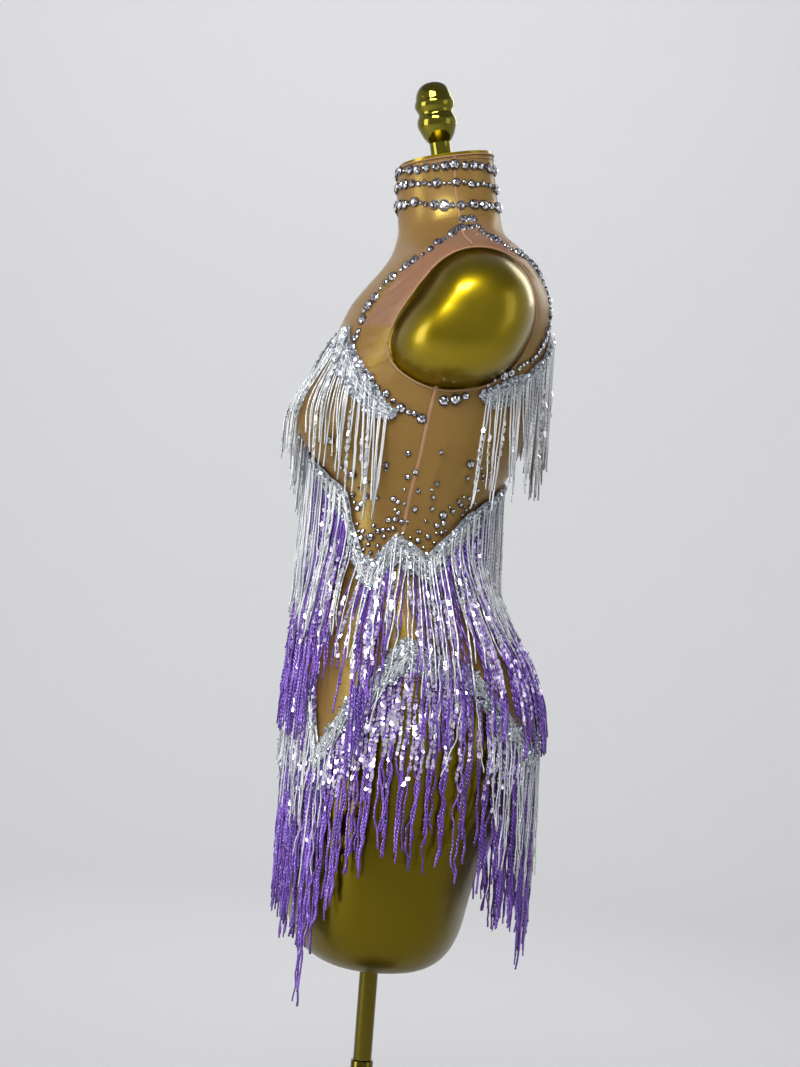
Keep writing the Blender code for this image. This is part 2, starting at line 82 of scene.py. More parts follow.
# Armhole outline round its centre: degrees up from the back, radius
ARMHOLE = np.array((
    (0, 0.0725), (20, 0.0770), (40, 0.0800), (60, 0.0785), (80, 0.0738), (100, 0.0680),
    (120, 0.0610), (140, 0.0545), (160, 0.0545), (175, 0.0600), (190, 0.0690), (205, 0.0800),
    (220, 0.0835), (240, 0.0805), (255, 0.0770), (270, 0.0725), (290, 0.0700), (310, 0.0695),
    (330, 0.0685), (345, 0.0690), (360, 0.0725),
))
ARMHOLE_CENTRE = (0.030, 0.6985)
ARMHOLE_X = 0.080
STUMP_X, STUMP_REACH, STUMP_SHARE, STUMP_POWER, STUMP_SOFT = 0.100, 0.092, 1.02, 3.2, 0.0045
SIDE_SEAM, NECK_SEAM, SEAM_STEP_HEIGHT = 85.5, 91.5, 0.690
PANEL_TOP = 0.878

# Band top edges: turn, height
WAIST_EDGE = np.array((
    (0, 0.560), (20, 0.547), (45, 0.512), (50, 0.484), (60, 0.449), (69, 0.443), (81, 0.475),
    (99, 0.454), (104, 0.462), (127, 0.503), (160, 0.531), (180, 0.540),
))
HIP_EDGE = np.array((
    (0, 0.340), (15, 0.330), (30, 0.310), (37, 0.251), (52, 0.301), (62, 0.324), (83, 0.370),
    (110, 0.339), (121, 0.310), (140, 0.273), (150, 0.258), (180, 0.300),
))
BUST_EDGE = np.array(((0, 0.605), (20, 0.691), (55, 0.634), (70, 0.599)))
BACK_EDGE = np.array((
    (106, 0.626), (118, 0.640), (132, 0.651), (145, 0.668), (156, 0.695), (180, 0.640)))


def unit(vectors):
    """Vectors brought to length one."""
    return vectors / np.maximum(np.linalg.norm(vectors, axis=-1, keepdims=True), 1e-12)


def cubic_slopes(x, y):
    """Slopes of a smooth curve through points that never overshoots them."""
    step = np.diff(x)
    rate = np.diff(y) / step
    slope = np.zeros_like(y)
    slope[0], slope[-1] = rate[0], rate[-1]
    same = rate[:-1] * rate[1:] > 0
    a, b = (2 * step[1:] + step[:-1])[same], (step[1:] + 2 * step[:-1])[same]
    slope[1:-1][same] = (a + b) / (a / rate[:-1][same] + b / rate[1:][same])
    return slope


SLOPES = np.stack([cubic_slopes(SECTIONS[:, 0], SECTIONS[:, k]) for k in range(1, 5)], axis=1)


def section(height):
    """Front, back, half width and tilt of the body at each height."""
    levels = SECTIONS[:, 0]
    height = np.clip(height, levels[0], levels[-1])
    row = np.clip(np.searchsorted(levels, height, side="right") - 1, 0, len(levels) - 2)
    step = levels[row + 1] - levels[row]
    u = ((height - levels[row]) / step)[..., None]
    step = step[..., None]
    low, high = SECTIONS[row, 1:], SECTIONS[row + 1, 1:]
    return (low * (1 + 2 * u) * (1 - u) ** 2 + high * u * u * (3 - 2 * u)
            + SLOPES[row] * step * u * (1 - u) ** 2 - SLOPES[row + 1] * step * u * u * (1 - u))


def signed_power(value, power):
    return np.sign(value) * np.abs(value) ** power


def bare(turn, height):
    """Points of the bare form."""
    turn, height = np.broadcast_arrays(np.asarray(turn, float), np.asarray(height, float))
    front, back, half, tilt = np.moveaxis(section(height), -1, 0)
    angle = np.radians(turn)
    facing = np.cos(angle)
    middle = (back - front) / 2
    x = half * signed_power(np.sin(angle), ROUNDNESS)
    y = middle - (back + front) / 2 * signed_power(facing, ROUNDNESS)
    spread = np.where(height > BUST_HEIGHT, BUST_SPREAD_UP, BUST_SPREAD_DOWN)
    aside, above = (np.abs(x) - BUST_CENTRE) / BUST_SPREAD, (height - BUST_HEIGHT) / spread
    y = y - BUST_DEPTH * np.exp(-aside ** 2 - above ** 2) * np.clip(1.6 * facing, 0, 1)
    return np.stack([x, y, FORM_BOTTOM + height + tilt * (y - middle)], axis=-1)


def normal_at(turn, height):
    across = bare(turn + 0.8, height) - bare(turn - 0.8, height)
    low = np.clip(height - 0.003, 0.018, 0.875)
    return unit(np.cross(across, bare(turn, low + 0.006) - bare(turn, low)))


def on_body(turn, height, out):
    """Points that lie out from the bare form."""
    turn, height = np.broadcast_arrays(np.asarray(turn, float), np.asarray(height, float))
    return bare(turn, height) + normal_at(turn, height) * np.asarray(out)[..., None]


def signed_turn(turn):
    return (np.asarray(turn, float) + 180.0) % 360.0 - 180.0


def at_turn(table, turn):
    """A table of turn and value, the same on both sides, read at each turn."""
    return np.interp(np.abs(signed_turn(turn)), table[:, 0], table[:, 1])


FINE_ANGLE = np.arange(-180.0, 541.0, 1.0)
FINE_RADIUS = np.convolve(np.interp(FINE_ANGLE % 360, ARMHOLE[:, 0], ARMHOLE[:, 1]),
                          np.hanning(23)[1:-1] / 11.0, "same")


def armhole_place(points):
    """Angle round the armhole's centre and the share of the outline's radius."""
    y = points[..., 1] - ARMHOLE_CENTRE[0]
    z = points[..., 2] - FORM_BOTTOM - ARMHOLE_CENTRE[1]
    angle = np.degrees(np.arctan2(z, y)) % 360
    return angle, np.hypot(y, z) / np.interp(angle, FINE_ANGLE, FINE_RADIUS)


def armhole_point(angle):
    """Depth and level of a point on the outline."""
    radius = np.interp(angle % 360, FINE_ANGLE, FINE_RADIUS)
    return (ARMHOLE_CENTRE[0] + radius * np.cos(np.radians(angle)),
            FORM_BOTTOM + ARMHOLE_CENTRE[1] + radius * np.sin(np.radians(angle)))


def turn_of(y, z):
    """Turn and height of the body's point on the wearer's left at a depth and a level."""
    height = z - FORM_BOTTOM
    for _ in range(8):
        front, back, _, tilt = np.moveaxis(section(height), -1, 0)
        middle = (back - front) / 2
        height = z - FORM_BOTTOM - tilt * (y - middle)
    share = np.clip((middle - y) / ((back + front) / 2), -1, 1)
    return np.degrees(np.arccos(signed_power(share, 1 / ROUNDNESS))), height


def hem_height(turn):
    side = np.abs(np.sin(np.radians(turn)))
    front = 0.185 + 0.145 * side ** 3
    back = 0.165 + 0.165 * side ** 2.5
    return np.where(np.abs(signed_turn(turn)) < 90, front, back)


# ---------------------------------------------------------------- meshes
# A direction whose Z is over STEEP is too close to UP for a cross product with it
UP, STEEP = np.array([0.0, 0.0, 1.0]), 0.8


def mesh_object(name, vertices, faces, material, smooth=True):
    mesh = bpy.data.meshes.new(name)
    faces = faces.tolist() if isinstance(faces, np.ndarray) else faces
    mesh.from_pydata(vertices.tolist(), [], faces)
    mesh.polygons.foreach_set("use_smooth", [smooth] * len(mesh.polygons))
    mesh.materials.append(material)
    mesh.update()
    piece = bpy.data.objects.new(name, mesh)
    GROUP.objects.link(piece)
    return piece


def build(name, vertices, faces, material, smooth=True):
    """A mesh piece that rides with the one body of the part."""
    piece = mesh_object(name, vertices, faces, material, smooth)
    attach(piece, "root")
    return piece


def grid_faces(rows, columns, closed=True):
    """Faces between rows of points; each row is a ring where they are closed."""
    step = np.arange(columns if closed else columns - 1)
    base = (np.arange(rows - 1) * columns)[:, None]
    low, after = base + step, base + (step + 1) % columns
    return np.stack([low, after, after + columns, low + columns], axis=-1).reshape(-1, 4)


def shell_faces(rows, columns):
    """Faces of a stack of rings, closed by a cap at each end."""
    top = (rows - 1) * columns
    caps = [tuple(range(columns))[::-1], tuple(range(top, top + columns))]
    return grid_faces(rows, columns).tolist() + caps


def ring_of(side, other, corners, shift=0.0):
    """Circles of points in the planes of two unit vectors."""
    angle = (2 * np.pi * (np.arange(corners) + shift) / corners)[:, None]
    return side[..., None, :] * np.cos(angle) + other[..., None, :] * np.sin(angle)


def plane_of(normal):
    """Two unit vectors square to each normal."""
    steep = np.abs(normal[:, 2:]) > STEEP
    side = unit(np.cross(np.where(steep, np.array([1.0, 0.0, 0.0]), UP), normal))
    return side, np.cross(normal, side)


def tubes(paths, radii, sides):
    """Vertices and faces of many tubes; paths is (tubes, points, 3)."""
    count, points, _ = paths.shape
    ahead = unit(np.gradient(paths, axis=1))
    steep = np.abs(ahead[..., 2:]) > STEEP
    side = unit(np.cross(ahead, np.where(steep, np.array([1.0, 0.3, 0.0]), UP)))
    ring = ring_of(side, np.cross(ahead, side), sides)
    radii = np.broadcast_to(np.asarray(radii, float), (count, points))
    vertices = (paths[:, :, None] + ring * radii[:, :, None, None]).reshape(-1, 3)
    base = (np.arange(count) * points * sides)[:, None]
    faces = (grid_faces(points, sides) + base[:, None]).reshape(-1, 4).tolist()
    if sides <= 4:
        faces += (base + np.arange(sides)[::-1]).tolist()
        faces += (base + (points - 1) * sides + np.arange(sides)).tolist()
    return vertices, faces


def turned(profile, segments):
    """Points of a profile of radius and height turned about Z."""
    angle = 2 * np.pi * np.arange(segments) / segments
    ring = np.stack([np.cos(angle), np.sin(angle)], axis=1)
    return np.concatenate([np.column_stack([ring * max(radius, 1e-5), np.full(segments, height)])
                           for radius, height in profile])


def lathe(name, node, profile, segments, material, place=None):
    """A turned piece of the stand in place of its node."""
    faces = shell_faces(len(profile), segments)
    piece = build(name, turned(profile, segments), faces, material)
    if place is not None:
        piece.data.transform(place)
    piece.data.set_sharp_from_angle(angle=math.radians(35))
    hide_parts(node)


def joined(parts):
    """Vertices and faces of several meshes as one."""
    vertices, faces, total = [], [], 0
    for points, cells in parts:
        vertices.append(points)
        faces += (np.asarray(cells) + total).tolist()
        total += len(points)
    return np.concatenate(vertices), faces


# ---------------------------------------------------------------- materials
class Look:
    """A material with one shader, and short ways to feed it."""

    def __init__(self, name, **values):
        self.material = bpy.data.materials.new(name)
        self.material.use_nodes = True
        self.tree = self.material.node_tree
        self.shader = self.tree.nodes["Principled BSDF"]
        for key, value in values.items():
            self.shader.inputs[key.replace("_", " ")].default_value = value

    def node(self, kind, feeds=None, **values):
        """A node with its settings, and the outputs that feed its inputs."""
        node = self.tree.nodes.new("ShaderNode" + kind)
        for key, value in values.items():
            if hasattr(node, key):
                setattr(node, key, value)
            else:
                node.inputs[key.replace("_", " ")].default_value = value
        for key, source in (feeds or {}).items():
            self.tree.links.new(source, node.inputs[key])
        return node

    def feed(self, socket, source):
        self.tree.links.new(source, self.shader.inputs[socket])

    def place(self, scale=(1, 1, 1)):
        """Object coordinates multiplied by a scale for each axis."""
        where = self.node("TexCoord").outputs["Object"]
        return self.node("Mapping", {"Vector": where}, Scale=scale).outputs["Vector"]

    def noise(self, vector, scale, detail):
        return self.node("TexNoise", {"Vector": vector}, Scale=scale, Detail=detail).outputs["Fac"]

    def tones(self, value, stops):
        """A value turned into the colours or greys of its stops."""
        node = self.node("ValToRGB", {"Fac": value})
        elements = node.color_ramp.elements
        while len(elements) < len(stops):
            elements.new(0.5)
        for element, (position, colour) in zip(elements, stops):
            element.position = position
            element.color = (*(colour if len(colour) == 3 else colour * 3), 1.0)
        return node.outputs["Color"]

    def ramped(self, value, low, high, first=0.0, last=1.0):
        """A value carried from one range to another and kept within it."""
        node = self.node("MapRange", {"Value": value},
                         From_Min=low, From_Max=high, To_Min=first, To_Max=last)
        return node.outputs["Result"]

    def mixed(self, share, first, last):
        """From one colour to another; each is a colour or an output."""
        node = self.node("MixRGB", {"Fac": share}, Color2=(*last, 1.0))
        if isinstance(first, tuple):
            node.inputs["Color1"].default_value = (*first, 1.0)
        else:
            self.tree.links.new(first, node.inputs["Color1"])
        return node.outputs["Color"]

    def bump(self, height, strength, distance):
        node = self.node("Bump", {"Height": height}, Strength=strength, Distance=distance)
        self.feed("Normal", node.outputs["Normal"])


# Painted shade on the form's gold: below these levels its tone and coat fall, standing for a darker
# floor mirrored in it
LOW_SHADE_TONE, LOW_SHADE_COAT, FULL_SHADE_LEVEL, NO_SHADE_LEVEL = 0.50, 0.15, 0.77, 0.88


def gold_material(name, colour, rough_low, rough_high, coat, painted_shade=False):
    """Plated gold; with painted shade, its tone and coat are darker on the form's lower end,
    standing for a darker floor mirrored in it.
    """
    look = Look(name, Metallic=1.0, Base_Color=(*colour, 1.0),
                Coat_Weight=coat, Coat_Roughness=0.09)
    vector = look.place()
    if painted_shade:
        # painted shade: darker base colour and less coat towards the bottom
        level = look.node("SeparateXYZ", {"Vector": vector}).outputs["Z"]
        share = look.ramped(level, FULL_SHADE_LEVEL, NO_SHADE_LEVEL)
        look.feed("Base Color", look.mixed(share, tuple(LOW_SHADE_TONE * c for c in colour), colour))
        look.feed("Coat Weight", look.ramped(level, FULL_SHADE_LEVEL, NO_SHADE_LEVEL, LOW_SHADE_COAT, coat))
    stops = ((0.35, (rough_low,)), (0.7, (rough_high,)))
    look.feed("Roughness", look.tones(look.noise(vector, 9.0, 4.0), stops))
    look.bump(look.noise(vector, 14.0, 1.0), 0.05, 0.004)
    return look.material


TAN = ((0.3, (0.36, 0.190, 0.056)), (0.7, (0.46, 0.260, 0.082)))
DOUBLE_TAN = (0.32, 0.160, 0.088)
SINGLE_ALPHA, DOUBLE_ALPHA = 0.29, 0.60
# The doubled mesh lies above a plane through three points of the strap (turns and heights),
# within a reach of the shoulder and over a level
STRAP_POINTS = (np.array([34.0, 47.0, 97.0]), np.array([0.692, 0.760, 0.803]))
SHOULDER, REACH_NONE, REACH_FULL = (0.125, -0.010, 1.330), 0.125, 0.095
DOUBLE_LEVEL = (1.283, 1.289)


def mesh_material(name):
    """Sheer stretch mesh, tan over the gold, and pinker and denser where it lies double."""
    look = Look(name, Roughness=0.38, Sheen_Weight=0.15, Sheen_Roughness=0.4,
                Sheen_Tint=(0.95, 0.70, 0.40, 1.0), Specular_IOR_Level=0.5)
    vector = look.place()
    place = look.node("SeparateXYZ", {"Vector": vector}).outputs
    side = look.node("Math", {0: place["X"]}, operation="ABSOLUTE").outputs["Value"]
    feeds = {"X": side, "Y": place["Y"], "Z": place["Z"]}
    mirrored = {0: look.node("CombineXYZ", feeds).outputs["Vector"]}
    low, middle, peak = (Vector(p) for p in on_body(*STRAP_POINTS, 0.0))
    across = (middle - low).cross(peak - low).normalized()
    across = across if across.x > 0 else -across
    level = across.dot(low)
    plane = look.node("VectorMath", mirrored, operation="DOT_PRODUCT")
    plane.inputs[1].default_value = across
    reach = look.node("VectorMath", mirrored, operation="DISTANCE")
    reach.inputs[1].default_value = SHOULDER
    double = look.ramped(reach.outputs["Value"], REACH_NONE, REACH_FULL)
    for value, start, end in ((plane.outputs["Value"], level - 0.003, level + 0.003),
                              (place["Z"], *DOUBLE_LEVEL)):
        feeds = {0: double, 1: look.ramped(value, start, end)}
        double = look.node("Math", feeds, operation="MULTIPLY").outputs["Value"]
    tan = look.tones(look.noise(vector, 7.0, 3.0), TAN)
    look.feed("Base Color", look.mixed(double, tan, DOUBLE_TAN))
    look.feed("Alpha", look.ramped(double, 0.0, 1.0, SINGLE_ALPHA, DOUBLE_ALPHA))
    weave = look.node("TexVoronoi", {"Vector": vector}, Scale=1100.0).outputs["Distance"]
    wrinkle = look.noise(look.place((1.0, 1.0, 0.45)), 22.0, 3.0)
    relief = look.node("Math", {0: weave, 2: wrinkle}, operation="MULTIPLY_ADD")
    relief.inputs[1].default_value = 0.10
    look.bump(relief.outputs["Value"], 0.20, 0.003)
    return look.material


def thread_material(name, dark, light, glint, metallic, roughness, relief):
    """Shiny twisted yarn: a tone for each strand, and a twist along it."""
    look = Look(name, Metallic=metallic, Roughness=roughness, Sheen_Weight=0.15,
                Specular_IOR_Level=0.7)
    strand = look.noise(look.place((240.0, 240.0, 14.0)), 1.0, 2.0)
    look.feed("Base Color", look.tones(strand, ((0.32, dark), (0.52, light), (0.74, glint))))
    twist = look.node("TexWave", {"Vector": look.place()}, wave_type="BANDS",
                      bands_direction="DIAGONAL", Scale=150.0, Distortion=1.0)
    look.bump(twist.outputs["Fac"], relief, 0.0016)
    return look.material


def glitter_material(name, stops, metallic, roughness, scale, coat):
    """Small bright plates whose tone changes from one to the next."""
    look = Look(name, Metallic=metallic, Roughness=roughness, Coat_Weight=coat)
    look.feed("Base Color", look.tones(look.noise(look.place(), scale, 1.0), stops))
    return look.material


# the form's gold carries painted shade on its lower end
FORM_GOLD = gold_material("form_gold_satin", (0.30, 0.218, 0.003), 0.29, 0.36, 0.36, True)
# Painted shade: the pole's and the finial's gold are darker copies of the form's gold, standing for
# the dark room they mirror
SHADED_POLE_GOLD = gold_material("pole_gold_painted_shade", (0.125, 0.096, 0.002), 0.08, 0.14, 0.30)
SHADED_FINIAL_GOLD = gold_material("finial_gold", (0.21, 0.180, 0.006), 0.05, 0.09, 0.45)
MESH = mesh_material("nude_stretch_mesh")
BINDING = Look("nude_binding", Roughness=0.6, Base_Color=(0.34, 0.175, 0.085, 1.0),
               Sheen_Weight=0.2).material
SILVER = thread_material("silver_thread", (0.34, 0.36, 0.39), (0.66, 0.69, 0.70),
                         (0.96, 0.97, 0.98), 0.25, 0.25, 0.3)
PURPLE = thread_material("purple_thread", (0.050, 0.010, 0.20), (0.170, 0.048, 0.50),
                         (0.46, 0.26, 0.92), 0.15, 0.28, 0.8)
SEQUIN = glitter_material(
    "silver_sequin", ((0.28, (0.30, 0.34, 0.38)), (0.42, (0.58, 0.74, 0.74)),
                      (0.52, (0.82, 0.83, 0.88)), (0.64, (0.62, 0.55, 0.84)),
                      (0.76, (0.96, 0.96, 1.0))), 0.95, 0.14, 300.0, 0.5)
SEQUIN_CLOTH = glitter_material(
    "silver_applique", ((0.3, (0.24, 0.26, 0.28)), (0.55, (0.40, 0.43, 0.46)),
                        (0.75, (0.8, 0.82, 0.86))), 0.6, 0.4, 240.0, 0.5)
LILAC_FLAKE = glitter_material(
    "lilac_paillette", ((0.3, (0.42, 0.28, 0.80)), (0.48, (0.74, 0.63, 0.97)),
                        (0.60, (1.0, 0.97, 1.0))), 0.85, 0.24, 260.0, 0.8)
CLEAR_FLAKE = glitter_material(
    "clear_paillette", ((0.3, (0.52, 0.54, 0.58)), (0.52, (0.80, 0.81, 0.84)),
                        (0.72, (1.0, 1.0, 1.0))), 0.75, 0.18, 260.0, 0.8)
STONE = glitter_material(
    "foiled_stone", ((0.38, (0.06, 0.06, 0.075)), (0.46, (0.40, 0.40, 0.44)),
                     (0.53, (0.86, 0.85, 0.90)), (0.62, (1.0, 1.0, 1.0))), 1.0, 0.07, 420.0, 0.0)
SETTING = Look("dark_setting", Metallic=0.8, Roughness=0.4,
               Base_Color=(0.055, 0.052, 0.055, 1.0)).material


# ---------------------------------------------------------------- form and stand
def stepped(*spans):
    """Values from each first to last at its own step, joined end to end."""
    parts = [np.arange(int(round((last - first) / step))) * step + first
             for first, last, step in spans]
    return np.concatenate(parts + [np.array([spans[-1][1]])])


def make_form():
    """The smooth torso, drawn out at each shoulder into a rounded stump."""
    half = stepped((0, 45, 3), (45, 135, 1), (135, 180, 3))
    turns = np.concatenate([half, 360 - half[1:-1][::-1]])
    rows = stepped((0.0175, 0.0475, 0.0025), (0.0475, 0.5975, 0.010), (0.5975, 0.7925, 0.0025),
                   (0.7925, NECK_PLATE, 0.00447))
    points = bare(turns[None, :], rows[:, None])
    _, share = armhole_place(points)
    share = share / STUMP_SHARE
    stump = STUMP_X + STUMP_REACH * np.clip(1 - share ** STUMP_POWER, 0, 1) ** 0.5
    side = np.abs(points[..., 0])
    drawn = STUMP_SOFT * np.logaddexp(side / STUMP_SOFT, stump / STUMP_SOFT)
    inside = (share < 1) & (side > ARMHOLE_X)
    drawn = np.sign(points[..., 0]) * np.maximum(drawn, side)
    points[..., 0] = np.where(inside, drawn, points[..., 0])
    faces = shell_faces(len(rows), len(turns))
    form = build("dress_form", points.reshape(-1, 3), faces, FORM_GOLD)
    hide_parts("form_torso")
    form.data.set_sharp_from_angle(angle=math.radians(60))
    return form


# Turned profiles of the stand: radius, height
FINIAL = (
    (0.0120, 0.0000), (0.0120, 0.0020), (0.0114, 0.0040), (0.0113, 0.0190), (0.0140, 0.0222),
    (0.0166, 0.0262), (0.0192, 0.0322), (0.0206, 0.0352), (0.0216, 0.0382), (0.0216, 0.0420),
    (0.0210, 0.0452), (0.0196, 0.0480), (0.0187, 0.0500), (0.0188, 0.0522), (0.0200, 0.0548),
    (0.0214, 0.0575), (0.0218, 0.0605), (0.0214, 0.0635), (0.0200, 0.0658), (0.0196, 0.0680),
    (0.0190, 0.0710), (0.0174, 0.0755), (0.0146, 0.0797), (0.0108, 0.0827), (0.0060, 0.0844),
    (0.0000, 0.0850),
)
FOOT = (
    (0.0000, 0.0000), (0.1735, 0.0000), (0.1750, 0.0012), (0.1750, 0.0042), (0.1742, 0.0060),
    (0.1700, 0.0092), (0.1450, 0.0117), (0.1200, 0.0139), (0.0900, 0.0165), (0.0600, 0.0192),
    (0.0400, 0.0222), (0.0270, 0.0258), (0.0205, 0.0300), (0.0180, 0.0328), (0.0174, 0.0340),
    (0.0128, 0.0340),
)
LOWER_POLE = ((0.0118, 0.0343), (0.0127, 0.0352), (0.0127, 0.4807), (0.0118, 0.4817))
COLLAR = (
    (0.0140, 0.4820), (0.0155, 0.4823), (0.0165, 0.4838), (0.0165, 0.4868), (0.0160, 0.4874),
    (0.0160, 0.4886), (0.0165, 0.4892), (0.0165, 0.4925), (0.0148, 0.4950), (0.0124, 0.4965),
    (0.0120, 0.4975), (0.0120, 0.5048), (0.0116, 0.5055), (0.0102, 0.5055),
)
UPPER_POLE = ((0.0092, 0.5058), (0.0100, 0.5066), (0.0100, 0.6164), (0.0094, 0.6172))
FINIAL_Y, FINIAL_GAP = 0.012, 0.0003


def make_stand():
    _, front, back, _, tilt = SECTIONS[-1]
    height = FORM_BOTTOM + NECK_PLATE + tilt * (FINIAL_Y - (back - front) / 2)
    lean = Matrix.Rotation(math.atan(tilt), 4, "X")
    lift = lean @ Vector((0.0, 0.0, FINIAL_GAP))
    place = Matrix.Translation(Vector((0.0, FINIAL_Y, height)) + lift) @ lean
    lathe("neck_finial", "finial", FINIAL, 64, SHADED_FINIAL_GOLD, place)
    lathe("round_foot", "base_plate", FOOT, 128, SHADED_POLE_GOLD)
    lathe("lower_pole", "pole_lower", LOWER_POLE, 48, SHADED_POLE_GOLD)
    lathe("pole_collar", "pole_ferrule", COLLAR, 48, SHADED_POLE_GOLD)
    lathe("upper_pole", "pole_upper", UPPER_POLE, 48, SHADED_POLE_GOLD)


# ---------------------------------------------------------------- cloth
# Creases on the wearer's left: turn, height, turn, height, width, rise
CREASES = (
    (60, 0.686, 36, 0.672, 0.005, 0.0026),
    (62, 0.676, 40, 0.652, 0.006, 0.0024),
    (65, 0.660, 49, 0.636, 0.005, 0.0022),
    (70, 0.640, 60, 0.616, 0.005, 0.0016),
    (57, 0.706, 35, 0.694, 0.006, 0.0026),
    (55, 0.728, 36, 0.712, 0.005, 0.0018),
    (56, 0.756, 37, 0.720, 0.006, 0.0030),
    (64, 0.768, 44, 0.748, 0.005, 0.0020),
    (76, 0.612, 92, 0.600, 0.006, 0.0014),
    (96, 0.622, 120, 0.598, 0.007, 0.0018),
    (112, 0.642, 131, 0.622, 0.006, 0.0016),
    (118, 0.762, 140, 0.735, 0.007, 0.0018),
    (60, 0.606, 66, 0.540, 0.007, 0.0018),
    (70, 0.560, 84, 0.500, 0.008, 0.0013),
    (92, 0.585, 97, 0.490, 0.009, 0.0014),
    (120, 0.590, 108, 0.520, 0.008, 0.0014),
    (66, 0.420, 88, 0.380, 0.010, 0.0012),
    (96, 0.425, 124, 0.370, 0.010, 0.0012),
    (30, 0.480, 60, 0.430, 0.010, 0.0012),
    (12, 0.620, 4, 0.520, 0.009, 0.0014),
    (150, 0.600, 170, 0.500, 0.010, 0.0014),
    (30, 0.800, 75, 0.812, 0.006, 0.0012),
    (100, 0.826, 150, 0.806, 0.007, 0.0013),
)
METRES_A_DEGREE = 0.0024  # round the chest
CLOTH_CLEAR, CLOTH_THICKNESS, CLOTH_STEP = 0.0010, 0.0004, 1.5
RIM_X, RIM_LIFT, FLAP_LIFT = 0.06, 0.0014, 0.0062
# The loose flap in front of the armhole: its angle round it, and its spread
FLAP_ANGLE, FLAP_SPREAD = 158.0, 34.0


def crease_rise(turn, height):
    """How far the cloth lifts off at each point, from the soft ridges of the table."""
    side = signed_turn(turn)
    rise = np.zeros(np.broadcast(turn, height).shape)
    for number, (t0, h0, t1, h1, width, depth) in enumerate(CREASES):
        for sign in (1, -1):
            shift = 0 if sign > 0 else 3.0 * math.sin(5.0 * number)
            along = np.array([(t1 - t0) * METRES_A_DEGREE, h1 - h0])
            length = np.linalg.norm(along)
            along = along / length
            dx = (sign * side - t0 - shift) * METRES_A_DEGREE
            dy = height - h0
            run = dx * along[0] + dy * along[1]
            off = dx * along[1] - dy * along[0] + 0.003 * np.sin(run * 60 + number)
            middle = np.clip(run / length, 0, 1)
            fade = np.sin(np.pi * middle) ** 0.7 * ((run > 0) & (run < length))
            rise += depth * fade * np.exp(-(off / (0.5 * width)) ** 2)
    return rise


def rim_lift(angle, share):
    """The cloth stands off the form round the armhole, most at the loose flap in front."""
    flap = np.exp(-((angle - FLAP_ANGLE) / FLAP_SPREAD) ** 2)
    fade = np.exp(-(np.maximum(share - 1, 0) / (0.10 + 0.18 * flap)) ** 2)
    return (RIM_LIFT + FLAP_LIFT * flap) * fade


def cloth_out(turn, height):
    """How far out the cloth lies at each point."""
    place = bare(turn, height)
    angle, reach = armhole_place(place)
    near = np.where(np.abs(place[..., 0]) > RIM_X, rim_lift(angle, reach), 0.0)
    return CLOTH_CLEAR + crease_rise(turn, height) + near


def make_cloth():
    """Three stretch panels over the form, cut out round the stumps and trimmed to the hem."""
    turns = np.arange(-180, 180, CLOTH_STEP)
    columns = len(turns)
    share = stepped((0, 0.60, 0.010), (0.60, 0.86, 0.004), (0.86, 1.0, 0.010))[:, None]
    rows = len(share)
    low = hem_height(turns)[None, :]
    heights = low + share * (PANEL_TOP - low)
    turn_grid = np.broadcast_to(turns[None, :], heights.shape).copy()
    base = bare(turn_grid, heights)
    angle, reach = armhole_place(base)
    inside = (reach < 1) & (np.abs(base[..., 0]) > ARMHOLE_X)
    # the outermost points within the armhole are moved onto its outline
    core = inside.copy()
    for axis, move in ((0, 1), (0, -1), (1, 1), (1, -1)):
        core &= np.roll(inside, move, axis)
    rim = inside & ~core
    rim_turn, rim_height = turn_of(*armhole_point(angle))
    turn_grid = np.where(rim, rim_turn * np.sign(signed_turn(turn_grid)), turn_grid)
    heights = np.where(rim, rim_height, heights)
    points = on_body(turn_grid, heights, cloth_out(turn_grid, heights)).reshape(-1, 3)
    centre = signed_turn(turns + CLOTH_STEP / 2)
    panels = {"front": [], "back_left": [], "back_right": []}
    for row in range(rows - 1):
        seam = SIDE_SEAM if heights[row, columns * 3 // 4] < SEAM_STEP_HEIGHT else NECK_SEAM
        for column in range(columns):
            after = (column + 1) % columns
            cell = ((row, column), (row, after), (row + 1, after), (row + 1, column))
            if any(core[c] for c in cell) or all(inside[c] for c in cell):
                continue
            back = "back_left" if centre[column] > 0 else "back_right"
            owner = "front" if abs(centre[column]) < seam else back
            panels[owner].append([r * columns + c for r, c in cell])
    cut = {}
    for name, cells in panels.items():
        used, faces = np.unique(np.array(cells), return_inverse=True)
        piece = build("mesh_" + name, points[used], faces.reshape(-1, 4), MESH)
        thick = piece.modifiers.new("thickness", "SOLIDIFY")
        thick.thickness = CLOTH_THICKNESS
        thick.offset = 1.0
        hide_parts("bodice_" + name)
        cut[name] = piece
    return cut


TAPE_OUT, TAPE_CURVE, TAPE_POINTS = 0.0010, 0.0005, 160
# Seam tapes: turn, first and last height, width
TAPES = (
    (SIDE_SEAM, 0.332, 0.628, 0.0036), (NECK_SEAM, 0.772, PANEL_TOP, 0.0022),
    (-SIDE_SEAM, 0.332, 0.628, 0.0036), (-NECK_SEAM, 0.772, PANEL_TOP, 0.0022),
    (180.0, 0.170, PANEL_TOP, 0.0040),
)


def tape(turn, first, last, width):
    """A flat tape along a line on the cloth, with a low rounded section."""
    turn, height = np.full(TAPE_POINTS, turn), np.linspace(first, last, TAPE_POINTS)
    centre = on_body(turn, height, TAPE_OUT + cloth_out(turn, height))
    normal = normal_at(turn, height)
    across = unit(np.cross(normal, np.gradient(centre, axis=0)))
    rails = [centre + across * width * k / 2 - normal * TAPE_CURVE * k * k
             for k in (-1.0, -0.6, 0.0, 0.6, 1.0)]
    faces = grid_faces(TAPE_POINTS, len(rails), closed=False)
    return np.stack(rails, axis=1).reshape(-1, 3), faces


